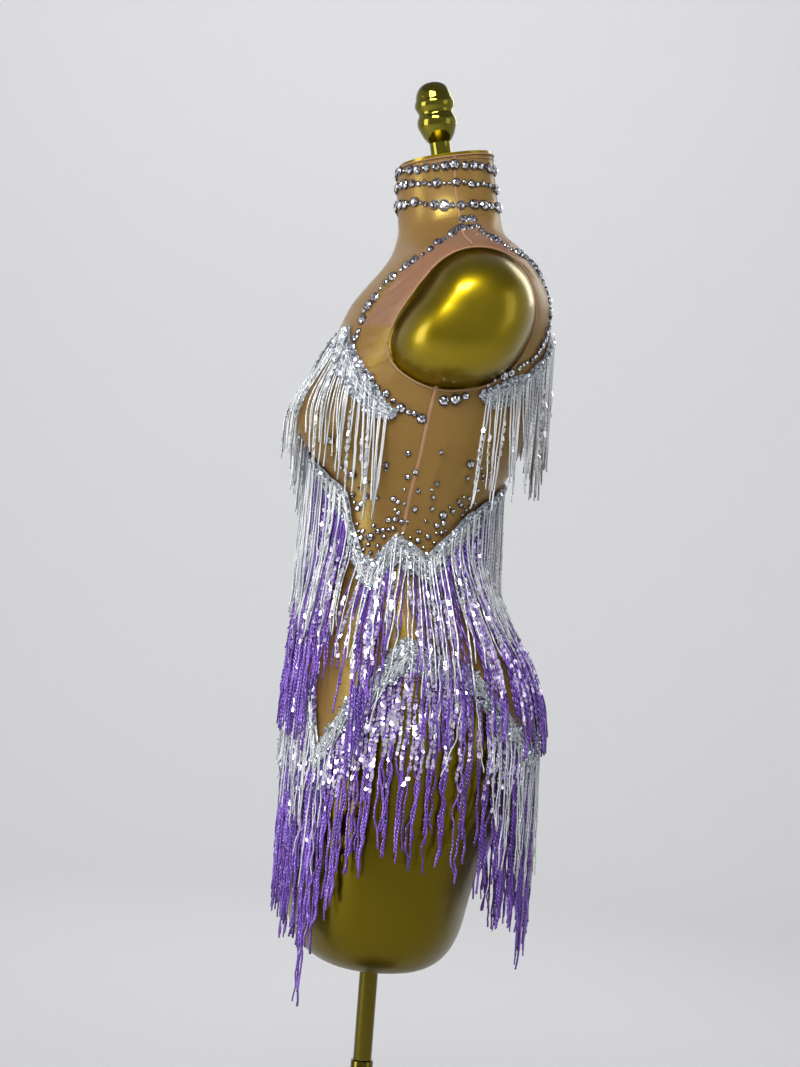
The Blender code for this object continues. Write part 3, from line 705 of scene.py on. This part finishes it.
def make_seams():
    """Taped seams, and the rolled edges of neck, armholes and hem."""
    build("seam_tapes", *joined([tape(*row) for row in TAPES]), BINDING)
    paths, radii = [], []
    angle = np.linspace(0, 360, TAPE_POINTS)
    turn, height = turn_of(*armhole_point(angle))
    for side in (1, -1):
        paths.append(on_body(turn * side, height, RIM_LIFT + rim_lift(angle, 1.0)))
        radii.append(0.0011)
    around = np.linspace(-180, 180, TAPE_POINTS)
    for shift, radius in ((0.0, 0.0009), (-0.0045, 0.0004)):
        paths.append(on_body(around, np.full(TAPE_POINTS, PANEL_TOP + shift), 0.0016))
        radii.append(radius)
    paths.append(on_body(around, hem_height(around) + 0.001, 0.0017))
    radii.append(0.0010)
    build("seams_and_bindings", *tubes(np.array(paths), np.array(radii)[:, None], 6), BINDING)


# ---------------------------------------------------------------- fringe
def section_reach(start, direction, levels):
    """How far out the body lies along each strand's level line; (strands, levels)."""
    ring = np.arange(0, 360, 3.0)
    outlines = bare(ring[None, :], np.clip(levels, 0.0, 0.70)[:, None])[..., :2]
    side = np.stack([-direction[:, 1], direction[:, 0]], axis=1)
    near = np.einsum("lkc,sc->slk", outlines, side) - (start * side).sum(1)[:, None, None]
    far = np.roll(near, -1, axis=2)
    own = (start * direction).sum(1)[:, None, None]
    ahead = np.einsum("lkc,sc->slk", outlines, direction) - own
    share = near / np.where(np.abs(near - far) < 1e-12, 1e-12, near - far)
    meet = ahead + (np.roll(ahead, -1, axis=2) - ahead) * share
    best = np.where(near * far <= 0, meet, -1.0).max(axis=2)
    return np.where(levels[None, :] < 0, -1.0, best)


# Waves along a strand: wavelength, share of the curl
WAVES = ((0.105, 1.0), (0.052, 0.75), (0.031, 0.60), (0.021, 0.35))
STRAND_STEP, LEVEL_STEP, CLEAR_RUN = 0.0058, 0.005, 0.05
ROOT_WAVE, WAVE_RUN = 0.15, 0.11


def strands(edge, turns, drop, lengths, out, clear, seed, curl, drift, clump):
    """Paths of hanging threads: they leave the band, lie on the body and then hang straight."""
    rng = np.random.default_rng(seed)
    count = len(turns)
    points = int(lengths.max() / STRAND_STEP) + 2
    root = at_turn(edge, turns) - drop
    start = on_body(turns, root, out)
    normal = unit(normal_at(turns, root)[:, :2])
    along = np.stack([-normal[:, 1], normal[:, 0]], axis=1)
    share = np.linspace(0, 1, points)
    fall = lengths[:, None] * share
    grid = np.arange(root.max(), root.min() - lengths.max() - 0.01, -LEVEL_STEP)
    body = section_reach(start[:, :2], normal, grid)
    reach = np.zeros((count, points))
    near, far = clear
    for number in range(count):
        below = root[number] - grid
        value = body[number] + (near + (far - near) * np.clip(below / CLEAR_RUN, 0, 1))
        value = np.where((below >= 0) & (body[number] > -0.5), value, 0.0)
        value = np.maximum.accumulate(np.maximum(value, 0.0))
        smooth = np.convolve(np.pad(value, 2, "edge"), np.ones(5) / 5, "valid")
        reach[number] = np.interp(fall[number], below, np.maximum(smooth, value * 0.999))
    # small groups of neighbours share a drift and are drawn together
    order = np.argsort(turns)
    groups = np.zeros(count, int)
    at = 0
    while at < count:
        size = int(rng.integers(2, 8))
        groups[order[at:at + size]] = at
        at += size
    middle = np.zeros((count, 2))
    shared = np.zeros(count)
    for group in np.unique(groups):
        chosen = groups == group
        middle[chosen] = start[chosen, :2].mean(axis=0)
        shared[chosen] = rng.normal(0, drift)
    pull = (clump * rng.uniform(0.3, 1.0, count))[:, None] * share[None, :] ** 1.2
    offset = ((middle - start[:, :2]) * along).sum(1)[:, None] * pull
    wave = np.zeros((count, points))
    for wavelength, height in WAVES:
        phase = rng.uniform(0, 2 * np.pi, (count, 1))
        stretch = wavelength * rng.uniform(0.8, 1.25, (count, 1))
        size = curl * height * np.abs(rng.normal(0, 1, (count, 1)))
        wave += size * np.sin(phase + fall * 2 * np.pi / stretch)
    wave *= np.minimum(1, ROOT_WAVE + fall / WAVE_RUN)
    lean = (shared[:, None] + rng.normal(0, 0.5 * drift, (count, 1))) * share[None, :] ** 1.3
    outward = np.abs(rng.normal(0, 0.4 * drift, (count, 1))) * share[None, :]
    outward += 0.5 * np.abs(np.roll(wave, 3, axis=1))
    plan = start[:, None, :2] + along[:, None] * (offset + lean + wave)[..., None]
    plan = plan + normal[:, None] * (reach + outward)[..., None]
    level = FORM_BOTTOM + root[:, None] - fall
    return np.concatenate([plan, level[..., None]], axis=2)


GLITTER_END, GLITTER_FADE, STRAY_SHARE = FORM_BOTTOM + 0.226, 0.014, 0.06
BODY_MIDDLE, PLATE_UP = np.array([0.0, 0.02, 0.0]), np.array([0.0, 0.0, 0.20])
PLATE_TILT, PLATE_SWAY, PLATE_OUT = 0.36, 0.10, 0.0012


def flakes(paths, strings, first, last, seed, pitch, width, length):
    """Small shiny plates threaded close together on some strands, few below GLITTER_END."""
    rng = np.random.default_rng(seed)
    count, points, _ = paths.shape
    strand, at = [], []
    for number in rng.choice(count, strings, replace=False):
        span = np.linalg.norm(np.diff(paths[number], axis=0), axis=1).sum()
        start = first + (last - first) * rng.uniform(0, 0.40)
        end = last - (last - first) * rng.uniform(0, 0.45)
        marks = np.arange(start, end, pitch / span)
        strand.append(np.full(len(marks), number))
        at.append(marks)
    strand = np.concatenate(strand)
    spots = len(strand)
    at = np.clip(np.concatenate(at) + rng.normal(0, 0.002, spots), 0, 0.999) * (points - 1)
    low = at.astype(int)
    ahead = paths[strand, low + 1] - paths[strand, low]
    centre = paths[strand, low] + ahead * (at - low)[:, None]
    kept = centre[:, 2] > GLITTER_END + rng.normal(0, GLITTER_FADE, spots)
    kept |= rng.uniform(0, 1, spots) < STRAY_SHARE
    ahead, centre, spots = ahead[kept], centre[kept], int(kept.sum())
    down = unit(ahead) + rng.normal(0, PLATE_SWAY, (spots, 3))
    outward = centre - BODY_MIDDLE
    outward[:, 2] = 0
    outward = unit(outward)
    facing = outward + PLATE_UP + rng.normal(0, PLATE_TILT, (spots, 3))
    across = unit(np.cross(down, facing))
    down = unit(np.cross(facing, across))
    centre = centre + outward * PLATE_OUT
    w = across * width * rng.uniform(0.75, 1.25, (spots, 1))
    h = down * length * rng.uniform(0.8, 1.2, (spots, 1))
    corners = [centre - w - h * 0.6, centre - h, centre + w - h * 0.6,
               centre + w + h * 0.6, centre + h, centre - w + h * 0.6]
    vertices = np.stack(corners, axis=1).reshape(-1, 3)
    return vertices, np.arange(spots * 6).reshape(-1, 6)


def dense_turns(first, last, count, seed, density):
    """Turns spread along a band, closer where the density is higher."""
    rng = np.random.default_rng(seed)
    fine = np.linspace(first, last, 1441)
    weight = at_turn(density, (fine[1:] + fine[:-1]) / 2)
    length = np.linalg.norm(np.diff(bare(fine, 0.45), axis=0), axis=1)
    run = np.concatenate([[0], np.cumsum(length * weight)])
    marks = (np.arange(count) + 0.5 + rng.uniform(-0.45, 0.45, count)) / count * run[-1]
    return np.interp(marks, run, fine)


# Turn against length, and turn against how close the strands stand
HIP_PURPLE = np.array((
    (0, 0.245), (30, 0.258), (37, 0.252), (45, 0.215), (60, 0.185), (83, 0.205), (104, 0.200),
    (118, 0.190), (138, 0.200), (150, 0.206), (180, 0.215)))
HIP_PURPLE_DENSITY = np.array((
    (0, 1.1), (35, 1.2), (48, 1.0), (60, 0.95), (100, 0.9), (112, 0.75), (122, 1.1), (140, 1.3),
    (165, 1.2), (180, 1.0)))
WAIST_PURPLE = np.array((
    (0, 0.285), (30, 0.270), (45, 0.230), (52, 0.110), (61, 0.105), (66, 0.190), (74, 0.200),
    (80, 0.170), (86, 0.090), (92, 0.090), (97, 0.180), (108, 0.190), (114, 0.150),
    (118, 0.175), (124, 0.225), (150, 0.250), (180, 0.270)))
WAIST_PURPLE_DENSITY = np.array((
    (0, 1.0), (30, 1.3), (47, 1.2), (51, 0.32), (60, 0.28), (65, 1.2), (78, 1.1), (84, 0.5),
    (92, 0.5), (96, 1.1), (110, 0.9), (115, 0.5), (120, 1.3), (150, 1.2), (180, 1.0)))
WAIST_SILVER = np.array((
    (0, 0.160), (40, 0.165), (48, 0.120), (60, 0.110), (80, 0.100), (96, 0.150), (180, 0.150)))
WAIST_SILVER_DENSITY = np.array((
    (0, 1.2), (34, 1.3), (45, 0.6), (80, 0.8), (94, 1.1), (104, 1.2), (112, 0.6), (125, 1.1),
    (180, 1.0)))
HIP_SILVER = np.array((
    (0, 0.130), (36, 0.150), (50, 0.075), (85, 0.070), (104, 0.110), (125, 0.150),
    (150, 0.140), (180, 0.140)))
HIP_SILVER_DENSITY = np.array((
    (0, 1.0), (34, 1.5), (44, 1.0), (50, 0.35), (100, 0.35), (112, 0.8), (124, 1.5), (150, 1.2),
    (180, 1.0)))
UPPER = np.array(((0, 0.122), (70, 0.124), (110, 0.122), (180, 0.122)))
EVEN = np.array(((0, 1.0), (180, 1.0)))
# drop, out, clearance near and far, lengths, density, radius, material
UPPER_HANG = (0.006, 0.0050, (0.0048, 0.0052), UPPER, EVEN, 0.00095, SILVER)
# first and last share of a string of plates, curl, drift, clump
UPPER_SWAY = (0.30, 0.99, 0.00050, 0.0035, 0.9)
# name, replaced node, edge, first, last, strands, hang, seed, strings of plates, sway
FRINGES = (
    ("hip_purple_threads", "hip_fringe_purple", HIP_EDGE, 0, 360, 360,
     (0.016, 0.0030, (0.0030, 0.0045), HIP_PURPLE, HIP_PURPLE_DENSITY, 0.00120, PURPLE),
     31, 320, (0.00, 0.66, 0.00125, 0.0045, 0.8)),
    ("hip_silver_threads", "hip_fringe_silver", HIP_EDGE, 0, 360, 130,
     (0.010, 0.0065, (0.0060, 0.0080), HIP_SILVER, HIP_SILVER_DENSITY, 0.00085, SILVER),
     32, 12, (0.10, 0.95, 0.00120, 0.0060, 0.9)),
    ("waist_purple_threads", "waist_fringe_purple", WAIST_EDGE, 0, 360, 340,
     (0.016, 0.0030, (0.0030, 0.0110), WAIST_PURPLE, WAIST_PURPLE_DENSITY, 0.00120, PURPLE),
     33, 150, (0.00, 0.95, 0.00090, 0.0050, 0.8)),
    ("waist_silver_threads", "waist_fringe_silver", WAIST_EDGE, 0, 360, 165,
     (0.006, 0.0066, (0.0062, 0.0140), WAIST_SILVER, WAIST_SILVER_DENSITY, 0.00090, SILVER),
     34, 22, (0.05, 0.80, 0.00080, 0.0060, 0.9)),
    ("bust_left_threads", "bust_fringe_left", BUST_EDGE, 1, 70, 54, UPPER_HANG, 35, 14, UPPER_SWAY),
    ("bust_right_threads", "bust_fringe_right", BUST_EDGE, 290, 359, 54, UPPER_HANG, 36, 14,
     UPPER_SWAY),
    ("back_left_threads", "back_fringe_left", BACK_EDGE, 106, 179, 52, UPPER_HANG, 37, 12,
     UPPER_SWAY),
    ("back_right_threads", "back_fringe_right", BACK_EDGE, 181, 254, 52, UPPER_HANG, 38, 12,
     UPPER_SWAY),
)
# pitch, half width and half length of the plates
LILAC_PLATE, CLEAR_PLATE = (0.0052, 0.0018, 0.0032), (0.0078, 0.0016, 0.0038)


def make_fringes():
    made, lilac, clear = {}, [], []
    for name, node, edge, first, last, count, hang, seed, strings, sway in FRINGES:
        drop, out, clearance, lengths, density, radius, material = hang
        plates_from, plates_to, curl, drift, clump = sway
        rng = np.random.default_rng(seed)
        turns = dense_turns(first, last, count, seed, density)
        length = at_turn(lengths, turns) * rng.uniform(0.76, 1.03, count)
        drops = drop + rng.uniform(-0.004, 0.004, count)
        paths = strands(edge, turns, drops, length, out + rng.uniform(-0.0006, 0.0012, count),
                        clearance, seed, curl, drift, clump)
        thick = radius * rng.uniform(0.8, 1.25, (count, 1)) * np.linspace(1.0, 0.85, paths.shape[1])
        made[name] = build(name, *tubes(paths, thick, 4), material)
        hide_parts(node)
        plates, size = (lilac, LILAC_PLATE) if material is PURPLE else (clear, CLEAR_PLATE)
        plates.append(flakes(paths, strings, plates_from, plates_to, seed + 50, *size))
    build("lilac_glints", *joined(lilac), LILAC_FLAKE, smooth=False)
    build("silver_glints", *joined(clear), CLEAR_FLAKE, smooth=False)
    return made


# ---------------------------------------------------------------- sequin bands
def discs(centre, normal, radius, seed):
    """Six-sided sequins that face roughly outwards."""
    rng = np.random.default_rng(seed)
    facing = unit(normal + rng.normal(0, SEQUIN_TILT, normal.shape))
    side = unit(np.cross(facing, rng.normal(0, 1, normal.shape)))
    ring = ring_of(side, np.cross(facing, side), 6)
    vertices = (centre[:, None] + ring * radius[:, None, None]).reshape(-1, 3)
    return vertices, np.arange(len(vertices)).reshape(-1, 6)


# name, edge, first, last, height, out, sequins, seed, turn of the pointed end
BANDS = (
    ("hip_band", HIP_EDGE, 0, 360, 0.027, 0.0056, 3400, 41, None),
    ("waist_band", WAIST_EDGE, 0, 360, 0.027, 0.0056, 2900, 42, None),
    ("bust_left_band", BUST_EDGE, 0.5, 72, 0.024, 0.0040, 760, 43, 72),
    ("bust_right_band", BUST_EDGE, 288, 359.5, 0.024, 0.0040, 760, 44, 72),
    ("back_left_band", BACK_EDGE, 104, 179.5, 0.024, 0.0040, 740, 45, 104),
    ("back_right_band", BACK_EDGE, 180.5, 256, 0.024, 0.0040, 740, 46, 104),
)
BAND_ROWS, BAND_DOME, BAND_ROUGH, SCALLOP = 6, 0.0016, 0.0003, 0.0030
# Waves of the lower edge: height, waves in a turn, shift in degrees
RAGGED = ((0.0035, 13, 20), (0.0030, 29, 70))
SEQUIN_RADIUS, SEQUIN_LIFT, SEQUIN_TILT = (0.0010, 0.0021), (0.0006, 0.0018), 0.42
CORDS_A_DEGREE, CORD_FALL, CORD_RADIUS, CORD_LIFT = 2.4, 0.010, 0.00055, 0.0018
TIP_SHARE, TIP_DEGREES = 0.25, 12.0


def taper(turn, tip):
    """The share of a band's height that is left towards its pointed end."""
    if tip is None:
        return 1.0
    reach = np.clip(np.abs(np.abs(signed_turn(turn)) - tip) / TIP_DEGREES, 0, 1)
    return TIP_SHARE + (1 - TIP_SHARE) * reach


def cords(edge, first, last, height, out, seed, tip):
    """Fine silver cords that lie in arcs along a band."""
    rng = np.random.default_rng(seed)
    count = int(CORDS_A_DEGREE * (last - first))
    turn = rng.uniform(first, last, count)
    level = rng.uniform(0.002, height, count)
    heading = rng.normal(0, 1, count)
    share = np.linspace(0, 1, 9)
    sweep = rng.uniform(3.0, 9.0, count) * np.sign(heading)
    sweep = np.where((turn + sweep < first) | (turn + sweep > last), -sweep, sweep)
    turns = turn[:, None] + sweep[:, None] * (share - 0.15 * np.sin(np.pi * share))
    turns = np.clip(turns, first, last)
    drop = level[:, None] + CORD_FALL * rng.uniform(0.2, 1.2, count)[:, None] * share ** 2
    lift = CORD_LIFT * rng.uniform(0.2, 1, count)[:, None] * np.sin(np.pi * share)
    return on_body(turns, at_turn(edge, turns) - drop * taper(turns, tip), out + 0.0010 + lift)


def make_bands():
    made, arcs = {}, []
    for name, edge, first, last, height, out, count, seed, tip in BANDS:
        rng = np.random.default_rng(seed)
        turns = np.linspace(first, last, int((last - first) * 1.5) + 1)
        share = np.linspace(0, 1, BAND_ROWS)[:, None]
        top = at_turn(edge, turns) + SCALLOP * np.abs(np.sin(np.radians(turns * 11)))
        ragged = sum(size * np.sin(np.radians(turns * waves + shift))
                     for size, waves, shift in RAGGED)
        bottom = at_turn(edge, turns) - (height + ragged) * taper(turns, tip)
        level = top + (bottom - top) * share
        dome = out - BAND_DOME * (2 * share - 1) ** 2 + rng.normal(0, BAND_ROUGH, level.shape)
        points = on_body(np.broadcast_to(turns, level.shape), level, dome).reshape(-1, 3)
        faces = grid_faces(BAND_ROWS, len(turns), closed=False)[:, ::-1]
        made[name + "_cloth"] = build(name + "_cloth", points, faces, SEQUIN_CLOTH)
        at = rng.uniform(first, last, count)
        down = rng.beta(1.1, 1.0, count)
        spot = at_turn(edge, at) + 0.003 - (height + 0.006) * down * taper(at, tip)
        lift, spread = SEQUIN_LIFT
        centre = on_body(at, spot, out + lift + rng.uniform(0, spread, count))
        plates = discs(centre, normal_at(at, spot), rng.uniform(*SEQUIN_RADIUS, count), seed)
        made[name] = build(name + "_sequins", *plates, SEQUIN, smooth=False)
        arcs.append(cords(edge, first, last, 0.8 * height, out, seed + 9, tip))
    build("band_cords", *tubes(np.concatenate(arcs), CORD_RADIUS, 3), SILVER)
    return made


# ---------------------------------------------------------------- stones
# Rings of a faceted stone: radius, rise, turn in corners
GEM_RINGS = ((1.0, 0.0, 0.0), (1.0, 0.16, 0.0), (0.78, 0.40, 0.5), (0.44, 0.58, 0.0))
GEM_CORNERS, CUP_CORNERS = 8, 10
CUP_WIDER, CUP_WALL, CUP_DEPTH, CUP_RISE = 1.16, 0.0001, 0.0006, 0.17


def gem_pattern():
    """Faces of one stone: a wall, two rows of three-cornered facets and a table."""
    faces = []
    for k in range(GEM_CORNERS):
        n = (k + 1) % GEM_CORNERS
        faces += [(k, n, 8 + n, 8 + k)]
        faces += [(8 + k, 8 + n, 16 + k), (8 + n, 16 + n, 16 + k)]
        faces += [(16 + k, 16 + n, 24 + n), (16 + k, 24 + n, 24 + k)]
    return faces + [tuple(range(24, 32))]


def cup_pattern():
    """Faces of one cup: its base, its wall and its rim."""
    faces = [tuple(range(10))[::-1], tuple(range(20, 30))]
    for k in range(CUP_CORNERS):
        n = (k + 1) % CUP_CORNERS
        faces += [(k, n, 10 + n, 10 + k), (10 + k, 10 + n, 20 + n, 20 + k)]
    return faces


def repeated(vertices, pattern):
    """A pattern of faces for each row of points."""
    size = vertices.shape[1]
    faces = [tuple(size * number + v for v in face)
             for number in range(len(vertices)) for face in pattern]
    return vertices.reshape(-1, 3), faces


def gems(centre, normal, radius):
    """Flat-backed faceted stones."""
    plane = plane_of(normal)
    rings = []
    for spread, rise, turn in GEM_RINGS:
        ring = ring_of(*plane, GEM_CORNERS, turn) * spread + normal[:, None] * rise
        rings.append(centre[:, None] + ring * radius[:, None, None])
    return repeated(np.concatenate(rings, axis=1), gem_pattern())


def settings(centre, normal, radius):
    """Dark cups a little wider than the stones they hold."""
    ring = ring_of(*plane_of(normal), CUP_CORNERS)
    ring = ring * (radius * CUP_WIDER + CUP_WALL)[:, None, None]
    back = (centre - normal * CUP_DEPTH)[:, None]
    rim = (centre + normal * (CUP_RISE * radius)[:, None])[:, None]
    rings = [back + ring, rim + ring, rim + 0.5 * ring]
    return repeated(np.concatenate(rings, axis=1), cup_pattern())


def along_line(knots, sizes, gap, jitter, rng):
    """Stones set close together along a line of turn and height knots."""
    knots = np.asarray(knots, float)
    fine = np.linspace(0, len(knots) - 1, 60 * len(knots))
    turn = np.interp(fine, np.arange(len(knots)), knots[:, 0])
    height = np.interp(fine, np.arange(len(knots)), knots[:, 1])
    lengths = np.linalg.norm(np.diff(bare(turn, height), axis=0), axis=1)
    run = np.concatenate([[0], np.cumsum(lengths)])
    marks, size, at = [], [], 0.0
    while True:
        radius = rng.choice(np.asarray(sizes)) * rng.uniform(0.92, 1.08)
        at += radius
        if at + radius > run[-1]:
            break
        marks.append(at)
        size.append(radius)
        at += radius + gap * rng.uniform(0.2, 1.8)
    level = np.interp(marks, run, height) + rng.normal(0, jitter, len(marks))
    return np.column_stack([np.interp(marks, run, turn), level, size])


# Lines of stones on the wearer's left: turn, height
STRAP = ((34, 0.692), (30, 0.706), (35, 0.720), (34, 0.737), (40, 0.746), (47, 0.760),
         (55, 0.768), (71, 0.781), (84, 0.791), (97, 0.803))
STRAP_BACK = ((109, 0.790), (114, 0.775), (125, 0.765), (141, 0.761), (152, 0.748), (158, 0.736),
              (156, 0.720), (150, 0.702), (144, 0.688), (136, 0.670), (128, 0.660), (117, 0.648),
              (108, 0.637), (103, 0.632))
BUST_LINE = ((34, 0.684), (36, 0.670), (38, 0.658), (45, 0.645), (52, 0.635), (62, 0.620),
             (73, 0.603), (80, 0.597), (85, 0.592))
UNDERARM = ((88, 0.613), (94, 0.616), (101, 0.626))
COLLAR_ROWS = (((0, 0.876), (45, 0.870), (90, 0.868), (150, 0.862), (180, 0.861)),
               ((0, 0.860), (45, 0.856), (90, 0.849), (150, 0.842), (180, 0.841)),
               ((0, 0.841), (45, 0.836), (90, 0.825), (135, 0.820), (180, 0.820)))
COLLAR_SIZES, COLLAR_GAP, COLLAR_JITTER = (0.0050, 0.0046, 0.0040, 0.0025, 0.0017), 0.0013, 0.0006
# knots and radii of each line
LINES = (
    (STRAP, (0.0048, 0.0043, 0.0033, 0.0021)),
    (STRAP_BACK, (0.0044, 0.0038, 0.0028, 0.0020)),
    (BUST_LINE, (0.0049, 0.0040, 0.0027)),
    (UNDERARM, (0.0052, 0.0042, 0.0032)),
)
LINE_GAP, LINE_JITTER = 0.0027, 0.0007
# Single stones: turn, height, radius
PEAK = np.array(((95, 0.807, 0.0046), (103, 0.806, 0.0048), (99, 0.796, 0.0038),
                 (107, 0.796, 0.0032)))
LONE = np.array(((21, 0.598, 0.0026), (22, 0.570, 0.0026), (80, 0.558, 0.0026),
                 (82, 0.534, 0.0026), (70, 0.545, 0.0026), (96, 0.530, 0.0026)))
SCATTER, SCATTER_TOP, SCATTER_APART = 88, 0.575, 0.0022
WAIST_DEGREE = 0.0022  # metres a degree at the waist
SCATTER_SIZES, SCATTER_ODDS = (0.0015, 0.0021, 0.0027, 0.0040), (0.30, 0.35, 0.27, 0.08)
OTHER_SIDE = np.array([-1, 1, 1])


def make_stones():
    rng = np.random.default_rng(7)
    rows = []
    for knots in COLLAR_ROWS:
        for side in (1, -1):
            row = along_line(knots, COLLAR_SIZES, COLLAR_GAP, COLLAR_JITTER, rng)
            rows.append(row * [side, 1, 1])
    for knots, sizes in LINES:
        row = along_line(knots, sizes, LINE_GAP, LINE_JITTER, rng)
        rows += [row, row * OTHER_SIDE]
    rows += [PEAK, PEAK * OTHER_SIDE, LONE, LONE * OTHER_SIDE]
    scatter = []
    while len(scatter) < SCATTER:
        turn = rng.uniform(40, 130)
        height = at_turn(WAIST_EDGE, turn) + 0.006 + rng.exponential(0.024)
        size = rng.choice(SCATTER_SIZES, p=SCATTER_ODDS)
        apart = [math.hypot((turn - t) * WAIST_DEGREE, height - h) - size - r
                 for t, h, r in scatter]
        if height < SCATTER_TOP and min(apart, default=1.0) > SCATTER_APART:
            scatter.append((turn, height, size))
    rows += [np.array(scatter), np.array(scatter) * OTHER_SIDE + [0.0, 0.002, 0.0]]
    turn, height, radius = np.concatenate(rows).T
    centre = on_body(turn, height, cloth_out(turn, height) + 0.0012)
    normal = normal_at(turn, height)
    # stones on top of the shoulder tip over to the side
    normal[:, 0] += 1.1 * np.sign(centre[:, 0]) * np.clip(normal[:, 2], 0, 1)
    normal = unit(normal)
    build("stone_settings", *settings(centre, normal, radius), SETTING, smooth=False)
    build("rhinestones", *gems(centre, normal, radius), STONE, smooth=False)


# ---------------------------------------------------------------- stage, light and camera
STAGE_RADIUS, STAGE_BEND, STAGE_TOP = 6.2, 2.2, 6.0


def make_stage():
    """A pale floor that curves up into a pale round wall."""
    pale = Look("pale_studio", Roughness=0.9, Base_Color=(0.70, 0.70, 0.71, 1.0)).material
    flat = STAGE_RADIUS - STAGE_BEND
    profile = [(0.0, 0.0), (1.0, 0.0), (2.5, 0.0), (flat, 0.0)]
    for angle in np.radians(np.arange(7.5, 91.0, 7.5)):
        profile.append((flat + STAGE_BEND * math.sin(angle), STAGE_BEND * (1 - math.cos(angle))))
    profile.append((STAGE_RADIUS, STAGE_TOP))
    stage = mesh_object("studio", turned(profile, 96), grid_faces(len(profile), 96), pale)


# name, place, target, size, power, colour
LIGHTS = (
    ("key", (1.90, -0.80, 3.0), (0, 0, 1.20), (1.5, 0.7), 70, (1.0, 0.99, 0.97)),
    ("front", (0.75, -2.85, 1.25), (0, 0, 1.05), (1.4, 2.2), 38, (0.97, 0.98, 1.0)),
    ("fill", (1.6, 2.6, 1.8), (0, 0, 1.0), (1.4, 2.0), 8, (0.95, 0.97, 1.0)),
    ("behind", (-1.8, 1.6, 2.4), (0, 0, 1.1), (1.0, 1.4), 10, (1.0, 1.0, 1.0)),
    ("wall", (-2.4, 0.3, 3.9), (-6.0, 0, 2.2), (2.0, 3.5), 100, (1.0, 1.0, 1.0)),
    ("wall_front", (0, -2.6, 3.9), (0, -6.0, 2.2), (3.5, 2.0), 42, (1.0, 1.0, 1.0)),
    ("wall_back", (0, 2.6, 3.9), (0, 6.0, 2.2), (3.5, 2.0), 42, (1.0, 1.0, 1.0)),
    ("wall_left", (2.8, 0.3, 3.9), (6.0, 0, 2.2), (2.0, 3.5), 20, (1.0, 1.0, 1.0)),
)
AIR_COLOUR, AIR_STRENGTH = (0.9, 0.93, 1.0, 1.0), 0.22


def make_lights():
    for name, place, target, size, power, colour in LIGHTS:
        data = bpy.data.lights.new(name, "AREA")
        data.shape = "RECTANGLE"
        data.size, data.size_y = size
        data.energy = power
        data.color = colour
        light = bpy.data.objects.new(name, data)
        light.location = place
        light.rotation_mode = "QUATERNION"
        aim = Vector(target) - Vector(place)
        light.rotation_quaternion = aim.to_track_quat("-Z", "Y")
        GROUP.objects.link(light)
    world = bpy.data.worlds.new("studio_air")
    world.use_nodes = True
    air = world.node_tree.nodes["Background"].inputs
    air["Color"].default_value = AIR_COLOUR
    air["Strength"].default_value = AIR_STRENGTH
    bpy.context.scene.world = world


CAMERA_AZIMUTH, CAMERA_ROLL = math.radians(83.0), math.radians(4.4)
CAMERA_DISTANCE, CAMERA_HEIGHT, CAMERA_ACROSS = 2.27, 1.0758, 0.0028
CAMERA_LENS, CAMERA_SENSOR = 70.85, 36.0


def make_camera():
    back = Vector((math.sin(CAMERA_AZIMUTH), -math.cos(CAMERA_AZIMUTH), 0.0))
    right = Vector((math.cos(CAMERA_AZIMUTH), math.sin(CAMERA_AZIMUTH), 0.0))
    up = Vector((0.0, 0.0, 1.0))
    axis_x = right * math.cos(CAMERA_ROLL) + up * math.sin(CAMERA_ROLL)
    axis_y = up * math.cos(CAMERA_ROLL) - right * math.sin(CAMERA_ROLL)
    data = bpy.data.cameras.new("photo_view")
    data.sensor_width = CAMERA_SENSOR
    data.lens = CAMERA_LENS
    camera = bpy.data.objects.new("photo_view", data)
    matrix = Matrix((axis_x, axis_y, back)).transposed().to_4x4()
    matrix.translation = back * CAMERA_DISTANCE - right * CAMERA_ACROSS + up * CAMERA_HEIGHT
    camera.matrix_world = matrix
    GROUP.objects.link(camera)
    bpy.context.scene.camera = camera


make_camera()
make_stage()
make_lights()
form = make_form()
make_stand()
cloth = make_cloth()
make_seams()
bands = make_bands()
fringes = make_fringes()
make_stones()
bpy.context.scene.view_settings.view_transform = "Standard"
